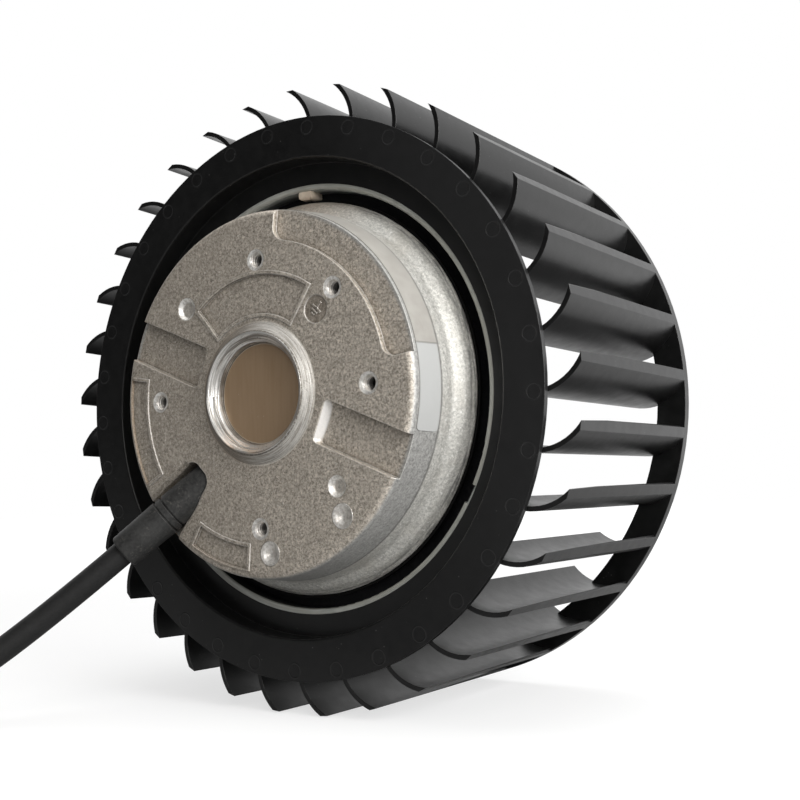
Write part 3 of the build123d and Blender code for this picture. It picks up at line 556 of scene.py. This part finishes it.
def cast_wear(s, tone, reach):
    """Painted shade in corners; wear and a painted highlight along edges, coppery at the rim's far side."""
    x = s.axes()[0]
    # Painted shade: corners and narrow gaps darkened by ambient occlusion
    tone = s.lay(tone, CORNER_SHADE, s.occlusion_shade(1.1 * MM), 0.65)
    # Wear and a painted highlight: the edges are lighter where they would catch the light
    worn_and_lit = s.times(s.edges(0.5 * MM), s.span(s.noise(1.6 * MM), 0.3, 0.6, 0.5, 1.0))
    rim = s.span(reach, FLANGE_RADIUS - 2.6 * MM, FLANGE_RADIUS - 1.1 * MM)
    far_side = s.times(s.span(x, 5 * MM, -15 * MM), rim)
    return s.lay(tone, s.mix(far_side, EDGE_WORN_AND_LIT, EDGE_COPPER), worn_and_lit, 0.85)


def drilled_places(s):
    """Masks of screw mouths and blind cones (mouth), and of painted shade deep in the screw holes (well).
    """
    mouth = 0.0
    well = 0.0
    for angle in SCREW_ANGLES:
        distance = s.near(angle, SCREW_CIRCLE)
        mouth = s.most(mouth, s.span(distance, SCREW_MOUTH + 0.12 * MM, SCREW_MOUTH - 0.05 * MM))
        well = s.most(well, s.span(distance, SCREW_CORE + 0.25 * MM, SCREW_CORE + 0.1 * MM))
    for angle, radius in BLIND_CONES:
        distance = s.near(angle, SCREW_CIRCLE)
        dull_middle = s.span(distance, 0.55 * radius, 0.72 * radius, 0.35, 1.0)
        mouth = s.most(mouth, s.times(s.span(distance, radius + 0.15 * MM, radius), dull_middle))
    return mouth, s.times(well, s.span(s.depth(), 0.9 * MM, 2.5 * MM))


def tool_marks(s, mouth, reach):
    """Adds the dished tool marks to the mouth mask; gives the turning lines and the dish as well."""
    lines = s.ripple(reach, TURNING_PITCH)
    dish = 0.0
    for angle, mark_reach in EJECTOR_MARKS:
        distance = s.near(angle, mark_reach)
        inside = s.span(distance, EJECTOR_RADIUS + 0.1 * MM, EJECTOR_RADIUS - 0.05 * MM)
        mouth = s.most(mouth, s.times(inside, 0.8))
        dish = s.plus(dish, s.times(inside, s.span(distance, 0.0, EJECTOR_RADIUS)))
        own_lines = s.ripple(distance, EJECTOR_PITCH)
        lines = s.plus(s.times(lines, s.without(inside)), s.times(own_lines, inside))
    return mouth, lines, dish


def crater_metal(s, reach, streak, lathe):
    """Turned crater crest and bore: broken dark rings, a painted golden reflection below, grooved bore."""
    turn = s.turn()
    tone = s.ramp(streak, CREST_DARK, CREST_LIGHT)
    tone = s.lay(tone, CREST_LINE, s.span(lathe, 0.52, 0.60), 0.75)
    # Painted reflection: a golden tone on the lower part of the crest
    from_left = s.span(turn, math.radians(-160), math.radians(-110))
    from_right = s.span(turn, math.radians(-60), math.radians(-100))
    tone = s.lay(tone, CREST_GOLD_REFLECTION, s.times(from_left, from_right, s.span(streak, 0.42, 0.6)), 0.6)
    bore = s.span(reach, BORE_RADIUS + 0.5 * MM, BORE_RADIUS + 0.2 * MM)
    grooves = s.times(s.span(s.ripple(s.depth(), BORE_PITCH), -0.2, 0.9), bore)
    return s.lay(tone, BORE_GROOVE, grooves, 0.7)


def cast_alloy():
    """Tumbled die-cast alloy, paler on the side wall, machined at the crater, screws and tool marks."""
    s = Shade("cast_alloy", specular=0.4)
    x, y, _ = s.axes()
    reach = s.reach()
    cloud = s.noise(8 * MM, detail=5)
    grain = s.noise(0.6 * MM, detail=5, roughness=0.8, distortion=0.6)
    fleck = s.specks(1.3 * MM, 0.22, 0.12, s.noise(1.8 * MM, detail=1), 0.46, 0.56)
    pits = s.span(s.noise(0.7 * MM, detail=3), 0.58, 0.68)
    streak = s.ring_noise(reach, 0.16 * MM, 2.0, detail=4)
    lathe = s.ring_noise(reach, 0.5 * MM, 0.8, detail=2)

    tone = cast_skin(s, cloud, grain, fleck, pits)
    outside = s.span(reach, FLANGE_RADIUS - 1.0 * MM, FLANGE_RADIUS + 0.1 * MM)
    side_wall = s.times(outside, s.span(y, 0.1 * MM, 1.0 * MM))
    tone = s.lay(tone, cast_side(s, cloud, grain, fleck), side_wall, 0.95)
    # Painted highlight on the sloping inner end of each slot
    for angle in SLOT_ANGLES:
        across = s.span(s.near(angle, SLOT_END), SLOT_HALF_WIDTH + 0.2 * MM, SLOT_HALF_WIDTH - 0.2 * MM)
        end = s.span(reach, SLOT_END + SLOT_LEAN, SLOT_END + SLOT_LEAN - 0.5 * MM)
        tone = s.lay(tone, SLOT_END_LIT, s.times(across, end, s.span(y, 0.05 * MM, 0.35 * MM)), 0.85)
    # The earth sign's round pad is darker
    pad = s.span(s.near(EARTH_ANGLE, EARTH_REACH), EARTH_PAD_RADIUS + 0.1 * MM, EARTH_PAD_RADIUS - 0.1 * MM)
    tone = s.lay(tone, PAD_DARK, pad, 0.45)
    tone = cast_wear(s, tone, reach)

    # The slope outside the crater's crest: ground in rings, with painted shade that makes it brown and dark
    # on its left
    near_face = s.span(y, 0.6 * MM, 0.3 * MM)
    crater = s.times(s.span(reach, CREST_RADIUS + 0.30 * MM, CREST_RADIUS + 0.15 * MM),
                     s.span(y, BORE_DEPTH + 0.1 * MM, BORE_DEPTH - 0.1 * MM))
    inside = s.span(reach, CRATER_RADIUS + 0.1 * MM, CRATER_RADIUS - 0.4 * MM)
    slope = s.times(inside, s.without(crater), near_face)
    shady = s.span(x, 4 * MM, -8 * MM)
    ground = s.ramp(streak, GROUND_DARK, GROUND_LIGHT, 0.35, 0.65)
    brown = s.ramp(streak, SLOPE_SHADE_DARK, SLOPE_SHADE_LIGHT, 0.40, 0.60)
    tone = s.lay(tone, s.mix(shady, ground, brown), slope, 0.8)

    # Machined places, then the dark seam at the crest's foot and the thin outline of the crater
    mouth, well = drilled_places(s)
    mouth, lines, dish = tool_marks(s, mouth, reach)
    machined = s.most(crater, mouth)
    dull = s.ramp(s.noise(0.7 * MM, detail=3), MOUTH_DARK, MOUTH_LIGHT, 0.35, 0.65)
    tone = s.lay(tone, dull, mouth, 0.95)
    # Painted shade in the depth of the screw holes
    tone = s.lay(tone, HOLE_SHADE, well, 0.9)
    tone = s.lay(tone, crater_metal(s, reach, streak, lathe), crater)
    seam = s.band(reach, CREST_RADIUS + 0.35 * MM, 0.24 * MM, 0.06 * MM)
    broken = s.span(s.noise(0.45 * MM, detail=3), 0.38, 0.56, 0.25, 0.85)
    tone = s.lay(tone, SEAM_DARK, s.times(seam, broken, near_face))
    # The crater's thin outline is pale, with painted shade that turns it brown on the left
    outline = s.times(s.band(reach, CRATER_RADIUS, 0.16 * MM, 0.05 * MM), near_face)
    tone = s.lay(tone, s.mix(shady, OUTLINE_PALE, OUTLINE_SHADED), outline, 0.55)
    s.colour(tone)

    rough = s.minus(s.span(grain, 0.2, 0.8, 0.40, 0.60), s.times(mouth, 0.14))
    s.rough(s.minus(rough, s.times(crater, 0.17)))
    s.metal(s.minus(s.plus(0.5, s.times(machined, 0.2)), s.times(slope, shady, 0.35), clamp=True))
    skin = s.plus(s.times(grain, 0.8), s.times(s.noise(2.2 * MM), 0.6))
    skin = s.times(s.minus(skin, s.times(pits, 0.4)), s.without(machined))
    turned = s.plus(s.times(lines, machined, 0.14), s.times(lathe, crater, 5.0))
    height = s.plus(skin, turned, s.times(streak, slope, 0.8), s.times(dish, 9.0))
    s.relief(height, 0.075 * MM, rounding=0.3 * MM)
    return s.material


# The other materials
def galvanised():
    """Zinc-coated sheet with a soft spangle; the inner wall is streaky with painted light at the top,
    painted shade below.
    """
    s = Shade("cup_zinc", metallic=0.5, specular=0.4)
    _, y, z = s.axes()
    reach = s.reach()
    spangle = s.cells(2.6 * MM, feature="SMOOTH_F1")
    cloud = s.noise(2.4 * MM, detail=5)
    tone = s.ramp(cloud, ZINC_DARK, ZINC_LIGHT)
    tone = s.lay(tone, ZINC_SPANGLE, s.span(spangle, 0.2, 0.8), 0.3)
    # Painted highlight along the cup's edges
    tone = s.lay(tone, ZINC_EDGE_HIGHLIGHT, s.edges(0.3 * MM), 0.45)

    # The inner wall, seen only through the gap round the flange: painted light at its top, painted shade
    # deeper in and below
    flow = s.ring_noise(reach, 0.9 * MM, 3.0, detail=5, depth=s.math("DIVIDE", y, 0.7 * MM))
    # Painted light: the inner wall is paler than the outer zinc
    wall = s.ramp(cloud, CUP_WALL_LIT_DARK, CUP_WALL_LIT_LIGHT)
    wall = s.lay(wall, CUP_STREAK, s.span(flow, 0.48, 0.66), 0.7)
    # Painted shade deeper inside the cup
    wall = s.lay(wall, CUP_DEEP_SHADE, s.span(y, CUP_RIM_Y + 0.8 * MM, CUP_RIM_Y + 3.5 * MM), 0.7)
    inner = s.times(s.span(reach, CUP_INNER + 0.45 * MM, CUP_INNER + 0.15 * MM),
                    s.span(y, CUP_RIM_Y + 16 * MM, CUP_RIM_Y + 12 * MM))
    # Painted shade: the lower part of the inner wall is near black, dull and barely glossy
    low = s.times(s.span(z, 28 * MM, -5 * MM), inner)
    wall = s.lay(wall, CUP_LOW_SHADE, low, 0.97)
    tone = s.lay(tone, wall, inner)
    rim = s.span(y, CUP_RIM_Y + 0.75 * MM, CUP_RIM_Y + 0.4 * MM)
    s.colour(s.lay(tone, CUP_RIM, s.times(rim, s.span(flow, 0.62, 0.42, 0.3, 0.8))))
    s.metal(s.span(low, 0.0, 1.0, 0.5, 0.0))
    s.feed(s.shader.inputs["Specular IOR Level"], s.span(low, 0.0, 1.0, 0.4, 0.03))
    s.rough(s.span(s.noise(1.2 * MM), 0.3, 0.7, 0.42, 0.58))
    s.relief(s.plus(s.noise(0.5 * MM, detail=4), s.times(spangle, 0.6)), 0.03 * MM, rounding=0.4 * MM)
    return s.material


def plate_marks(s):
    """Round ejector marks of the back plate, one at each blade: a raised rim round a sunken disc."""
    pitch = 2 * math.pi / BLADE_COUNT
    turn = s.minus(s.turn(), math.radians(BLADE_PHASE))
    share = s.math("FRACT", s.plus(s.math("DIVIDE", turn, pitch), 0.5))
    along = s.times(s.minus(share, 0.5), pitch * PLATE_MARK_REACH)
    across = s.minus(s.reach(), PLATE_MARK_REACH)
    distance = s.vector("LENGTH", s.join(along, across, 0.0))
    rim = s.band(distance, PLATE_MARK_RADIUS, 0.22 * MM, 0.02 * MM)
    disc = s.span(distance, PLATE_MARK_RADIUS, PLATE_MARK_RADIUS - 0.2 * MM)
    return s.minus(rim, s.times(disc, 0.5))


def black_moulding(name, plate=False):
    """Glass-filled black nylon: satin, faintly mottled, with a painted highlight on thin edges and a little
    dust.
    """
    s = Shade(name, specular=0.52)
    mottle = s.noise(2.6 * MM, detail=5, roughness=0.6)
    fibre = s.stretched(0.35 * MM, FIBRE_STRETCH, detail=3)
    flow = s.noise(18 * MM, detail=2)
    tone = s.ramp(mottle, NYLON_DARK, NYLON_LIGHT)
    tone = s.lay(tone, NYLON_LIGHT, s.span(flow, 0.45, 0.75), 0.5)
    speck = s.specks(1.6 * MM, 0.11, 0.05, s.noise(5 * MM, detail=2), 0.52, 0.66)
    tone = s.lay(tone, NYLON_DUST, speck, 0.5)
    # Painted highlight on the thin edges
    tone = s.lay(tone, NYLON_EDGE_HIGHLIGHT, s.edges(0.18 * MM, 0.05, 0.4), 0.5)
    height = s.plus(s.times(fibre, 0.5), s.times(mottle, 0.5))
    if plate:
        # The back plate has its ejector marks, and painted light makes it lighter to the right
        marks = plate_marks(s)
        height = s.plus(height, s.times(marks, 2.0))
        tone = s.lay(tone, PLATE_MARK, marks, 0.3)
        x, _, z = s.axes()
        right = s.span(s.plus(x, s.times(z, 0.4)), 20 * MM, 62 * MM)
        tone = s.mix(right, tone, PLATE_LIT_RIGHT)
    s.colour(tone)
    s.rough(s.span(mottle, 0.25, 0.75, 0.29, 0.37))
    s.relief(height, 0.022 * MM, rounding=0.2 * MM)
    return s.material


def soft_rubber(name, base, light, size, dusty=0.0, specular=0.35):
    """Matte rubber or cable sheath with a fine skin, and dust in it where asked."""
    s = Shade(name, specular=specular)
    skin = s.noise(size, detail=4)
    broad = s.noise(size * 14, detail=2)
    tone = s.ramp(skin, base, light)
    tone = s.lay(tone, lighter(light, 1.6), s.span(broad, 0.5, 0.75), 0.4)
    if dusty:
        fine = s.span(s.noise(0.5 * MM, detail=4), 0.52, 0.68)
        dust = s.times(fine, s.span(s.noise(3.5 * MM), 0.4, 0.65))
        tone = s.lay(tone, RUBBER_DUST, dust, dusty)
        tone = s.lay(tone, RUBBER_EDGE, s.edges(0.25 * MM), 0.4)
    s.colour(tone)
    s.rough(s.span(skin, 0.2, 0.8, 0.40, 0.58))
    s.relief(skin, size * 0.06, rounding=0.15 * MM)
    return s.material


def cap_finish():
    """The brown cap: smooth satin, with faint upright streaks, a few specks and a thin bright edge."""
    s = Shade("cap_finish", metallic=0.35, specular=0.4)
    streak = s.stretched(1.0 * MM, CAP_STRETCH, detail=3)
    tone = s.ramp(streak, CAP_DARK, CAP_LIGHT, 0.25, 0.75)
    speck = s.specks(1.7 * MM, 0.09, 0.04, s.noise(3 * MM, detail=1), 0.50, 0.6)
    tone = s.lay(tone, CAP_SPECK, speck, 0.6)
    edge = s.span(s.reach(), BORE_RADIUS - 0.42 * MM, BORE_RADIUS - 0.22 * MM)
    s.colour(s.lay(tone, CAP_EDGE, edge, 0.75))
    s.rough(s.span(streak, 0.2, 0.8, 0.36, 0.44))
    s.relief(s.noise(0.4 * MM, detail=3), 0.006 * MM)
    return s.material


def label_film():
    """The bare plate on the side wall: satin film with a thin dividing line and a dull edge."""
    s = Shade("label_film", coat=0.15)
    turn = s.turn()
    y = s.depth()
    divider = math.radians(LABEL_DIVIDER)
    film = s.noise(3 * MM, detail=3)
    tone = s.ramp(film, LABEL_DARK, LABEL_LIGHT)
    tone = s.mix(s.span(turn, divider + 0.002, divider - 0.002), tone, LABEL_LOWER)
    tone = s.lay(tone, LABEL_LINE, s.band(turn, divider, 0.006, 0.004), 0.55)
    scuff = s.span(s.noise(0.8 * MM, detail=5, roughness=0.7), 0.62, 0.74)
    tone = s.lay(tone, LABEL_SCUFF, scuff, 0.25)
    front_edge = s.span(y, LABEL_FRONT + 0.35 * MM, LABEL_FRONT + 0.2 * MM)
    back_edge = s.span(y, LABEL_BACK - 0.35 * MM, LABEL_BACK - 0.2 * MM)
    tone = s.lay(tone, LABEL_EDGE, s.most(front_edge, back_edge), 0.30)
    s.colour(tone)
    s.rough(s.span(film, 0.2, 0.8, 0.32, 0.44))
    s.relief(s.noise(1.5 * MM, detail=2), 0.02 * MM)
    return s.material


def plain_metal(name, dark, light, roughness=0.35, grain=NO_STRETCH):
    """Machined or drawn metal whose grain may run along one axis."""
    s = Shade(name, roughness=roughness, metallic=0.9)
    lines = s.stretched(0.4 * MM, grain, detail=4)
    tone = s.ramp(lines, dark, light)
    s.colour(s.lay(tone, lighter(light, 1.4), s.edges(0.15 * MM), 0.5))
    s.rough(s.span(lines, 0.2, 0.8, roughness - 0.08, roughness + 0.10))
    s.relief(lines, 0.012 * MM, rounding=0.1 * MM)
    return s.material


def thread_finish():
    """Cut thread turns: bright near the mouth, with painted shade deep in the hole."""
    s = Shade("thread_metal", roughness=0.3, metallic=0.3)
    tone = s.ramp(s.noise(0.4 * MM), THREAD_DARK, THREAD_LIGHT)
    # Painted shade: the thread darkens with depth
    s.colour(s.lay(tone, HOLE_SHADE, s.span(s.depth(), 1.2 * MM, 3.0 * MM), 0.95))
    return s.material


def laminations():
    """Stacked core sheets, half a millimetre each, seen on the rims."""
    s = Shade("laminations", metallic=0.75)
    stack = s.ripple(s.depth(), SHEET_PITCH)
    tone = s.ramp(stack, SHEET_DARK, SHEET_LIGHT, -0.9, -0.3)
    rust = s.span(s.noise(4 * MM, detail=4), 0.58, 0.75)
    s.colour(s.lay(tone, RUST, rust, 0.3))
    s.relief(stack, 0.04 * MM)
    return s.material


def wound_wire():
    """Enamelled copper wire, bound in rough turns."""
    s = Shade("wound_wire", roughness=0.3, metallic=0.6, coat=0.4)
    wander = s.times(s.noise(3 * MM, detail=2), 2.5 * MM)
    turns = s.ripple(s.plus(s.reach(), wander), WIRE_PITCH)
    s.colour(s.ramp(turns, COPPER_DARK, COPPER_LIGHT, -1.0, 0.6))
    s.relief(turns, 0.12 * MM)
    return s.material


def moulded_plastic(name, dark, light):
    """Matte plastic, faintly mottled, with thin pale edges."""
    s = Shade(name, roughness=0.45)
    tone = s.ramp(s.noise(1.8 * MM, detail=4), dark, light)
    s.colour(s.lay(tone, lighter(light, 1.3), s.edges(0.15 * MM), 0.35))
    s.relief(s.noise(0.3 * MM, detail=3), 0.015 * MM, rounding=0.12 * MM)
    return s.material


# Which material each node wears
cast = cast_alloy()
plastic = black_moulding("black_moulding")
bright_steel = plain_metal("bright_steel", (0.40, 0.40, 0.41), (0.62, 0.62, 0.63), roughness=0.25)
sheet_steel = plain_metal("sheet_steel", (0.30, 0.30, 0.31), (0.50, 0.50, 0.51), roughness=0.38)
turned_steel = plain_metal("turned_steel", (0.24, 0.24, 0.25), (0.42, 0.42, 0.43), grain=TURNED_STRETCH)
# Painted shade: the rotor's core and cage are near black, as the shaded gap round the flange where they
# show
gap_shade_black = soft_rubber("gap_shade_black", (0.006, 0.006, 0.007), (0.011, 0.011, 0.012), 0.9 * MM,
                           specular=0.12)
pale_nylon = moulded_plastic("pale_nylon", (0.52, 0.50, 0.44), (0.66, 0.64, 0.58))
dark_case = moulded_plastic("dark_case", (0.012, 0.012, 0.013), (0.03, 0.03, 0.032))
beige = moulded_plastic("beige_resin", (0.52, 0.43, 0.34), (0.64, 0.55, 0.44))
lead_sheath = soft_rubber("lead_sheath", (0.03, 0.045, 0.16), (0.05, 0.07, 0.24), 0.3 * MM)
black_rubber = soft_rubber("black_rubber", (0.002, 0.002, 0.002), (0.004, 0.004, 0.004), 0.45 * MM,
                           specular=0.08)
boot_rubber = soft_rubber("boot_rubber", (0.012, 0.012, 0.012), (0.026, 0.026, 0.025), 0.6 * MM, dusty=0.30)
sheath_black = soft_rubber("sheath_black", (0.008, 0.008, 0.008), (0.013, 0.013, 0.013), 0.35 * MM)

finishes = {
    "stator_flange": cast,
    "bearing_cap": cap_finish(),
    "side_label": label_film(),
    "seal_ring": black_rubber,
    "stator_core": laminations(),
    "rotor_core": gap_shade_black,
    "end_insulator_front": pale_nylon,
    "end_insulator_rear": pale_nylon,
    "windings": wound_wire(),
    "thermal_protector": dark_case,
    "lead_wires": lead_sheath,
    "earth_terminal": sheet_steel,
    "earth_screw": turned_steel,
    "preload_spring": sheet_steel,
    "rotor_cup": galvanised(),
    "rotor_cage": gap_shade_black,
    "shaft": bright_steel,
    "hub_bush": turned_steel,
    "shaft_circlip": sheet_steel,
    "balance_tab": beige,
    "impeller_backplate": black_moulding("black_plate", plate=True),
    "impeller_sleeve": plastic,
    "impeller_blades": plastic,
    "inlet_ring": plastic,
    "cable_boot": boot_rubber,
    "cable_in_boot": sheath_black,
    "cable_cores": lead_sheath,
    "core_ferrules": sheet_steel,
}
for end in ("front", "rear"):
    finishes[f"bearing_{end}_outer_ring"] = bright_steel
    finishes[f"bearing_{end}_inner_ring"] = bright_steel
    finishes[f"bearing_{end}_balls"] = bright_steel
    finishes[f"bearing_{end}_cage"] = pale_nylon
    finishes[f"bearing_{end}_shields"] = sheet_steel


def dress(thing, material):
    if thing.material_slots:
        for slot in thing.material_slots:
            slot.link = "OBJECT"
            slot.material = material
    else:
        thing.data.materials.append(material)


for name, material in finishes.items():
    dress(nodes[name], material)
power_cable.data.materials.append(sheath_black)


# Pieces that are too fine for the model
def mesh_object(name, vertices, faces, material):
    data = bpy.data.meshes.new(name)
    data.from_pydata(vertices, [], faces)
    data.validate()
    data.update()
    data.materials.append(material)
    return link(name, data)


def fix_to_flange(piece):
    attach(piece, "stator")


def screw_thread(name, angle, material):
    """The thread in one screw hole: a fine ridge that winds down the wall and fades at both ends."""
    centre = polar(angle, SCREW_CIRCLE)
    foot = SCREW_CORE + THREAD_SINK
    vertices = []
    faces = []
    last = int(THREAD_TURNS * THREAD_STEPS)
    for step in range(last + 1):
        around = 2 * math.pi * step / THREAD_STEPS
        y = THREAD_START + THREAD_PITCH * step / THREAD_STEPS
        fade = min(1.0, step / THREAD_STEPS, (last - step) / THREAD_STEPS)
        crest = SCREW_CORE - THREAD_HEIGHT * fade
        profile = ((foot, -THREAD_FOOT), (crest, -THREAD_TIP), (crest, THREAD_TIP), (foot, THREAD_FOOT))
        for reach, shift in profile:
            place = Vector((reach * math.cos(around), y + shift, reach * math.sin(around)))
            vertices.append(centre + place)
        if step:
            base = (step - 1) * len(profile)
            for side in range(base, base + 3):
                faces.append((side, side + 1, side + 5, side + 4))
    fix_to_flange(mesh_object(name, vertices, faces, material))


def earth_mark():
    """The raised earth sign on the round pad: a stem and three bars, with sloping sides."""
    outward = polar(EARTH_ANGLE, 1.0)
    across = Vector((-outward.z, 0.0, outward.x))
    centre = polar(EARTH_ANGLE, EARTH_REACH)
    vertices = []
    faces = []
    for out, half_across, half_out in EARTH_BARS:
        base = len(vertices)
        for y, spread in (EARTH_FOOT, EARTH_TOP):
            for a, b in ((-1, -1), (1, -1), (1, 1), (-1, 1)):
                shift = across * a * (half_across + spread) + outward * (out + b * (half_out + spread))
                vertices.append(centre + (shift + Vector((0.0, y, 0.0))) * MM)
        faces.append((base + 4, base + 5, base + 6, base + 7))
        for corner in range(4):
            after = (corner + 1) % 4
            faces.append((base + corner, base + after, base + 4 + after, base + 4 + corner))
    fix_to_flange(mesh_object("earth_mark", vertices, faces, cast))


thread_metal = thread_finish()
for number, angle in enumerate(SCREW_ANGLES, start=1):
    screw_thread(f"screw_thread_{number}", angle, thread_metal)
earth_mark()


# Floor, light and background
def towards_back(graph, place, low, high, out_low):
    """How far a place or direction lies towards the bright side of the studio, from out_low to 1."""
    return graph.span(graph.vector("DOT_PRODUCT", place, BRIGHT_SIDE), low, high, out_low)


def make_floor():
    """A pale floor that the camera and reflections see as near white, and that still takes a shadow."""
    s = Shade("floor_white", roughness=0.9, specular=0.0)
    s.colour(FLOOR_COLOUR)
    rays = s.node("ShaderNodeLightPath").outputs
    away = s.vector("LENGTH", s.place)
    seen = s.times(rays["Is Camera Ray"], s.span(away, FLOOR_NEAR, FLOOR_FAR, FLOOR_LIFT))
    mirrored = s.times(rays["Is Glossy Ray"], towards_back(s, s.place, -0.2, 0.6, 0.0),
                       s.span(away, GLOSS_NEAR, GLOSS_FAR, FLOOR_GLOSS))
    s.feed(s.shader.inputs["Emission Color"], WHITE)
    s.feed(s.shader.inputs["Emission Strength"], s.most(seen, mirrored, rays["Is Transmission Ray"]))
    signs = ((-1, -1), (1, -1), (1, 1), (-1, 1))
    corners = [(FLOOR_SIZE * a, FLOOR_SIZE * b, FLOOR_Z - FLOOR_DROP) for a, b in signs]
    mesh_object("floor", corners, [(0, 1, 2, 3)], s.material)


def make_world():
    """White to the camera; reflections see white behind the fan and a dimmer room in front of it."""
    world = bpy.data.worlds.new("studio")
    bpy.context.scene.world = world
    world.use_nodes = True
    world.node_tree.nodes.clear()
    sky = Graph(world.node_tree)
    rays = sky.node("ShaderNodeLightPath").outputs
    direction = sky.node("ShaderNodeTexCoord").outputs["Generated"]
    mirrored = sky.times(rays["Is Glossy Ray"], towards_back(sky, direction, -0.6, 0.2, ROOM_GLOSS))
    plain = sky.times(rays["Is Diffuse Ray"], ROOM_LIGHT)
    backdrop = sky.node("ShaderNodeBackground")
    sky.feed(backdrop.inputs["Color"], WHITE)
    strength = sky.most(rays["Is Camera Ray"], rays["Is Transmission Ray"], mirrored, plain)
    sky.feed(backdrop.inputs["Strength"], strength)
    sky.feed(sky.node("ShaderNodeOutputWorld").inputs["Surface"], backdrop.outputs[0])


def make_lamp(name, place, width, power, colour):
    data = bpy.data.lights.new(name, "AREA")
    data.shape = "RECTANGLE"
    data.size = width
    data.size_y = width
    data.energy = power
    data.color = colour
    lamp = link(name, data)
    lamp.location = place
    lamp.rotation_euler = (Vector(LAMP_AIM) - Vector(place)).to_track_quat("-Z", "Y").to_euler()


make_floor()
make_world()
for lamp in LAMPS:
    make_lamp(*lamp)
bpy.context.scene.view_settings.view_transform = "Standard"
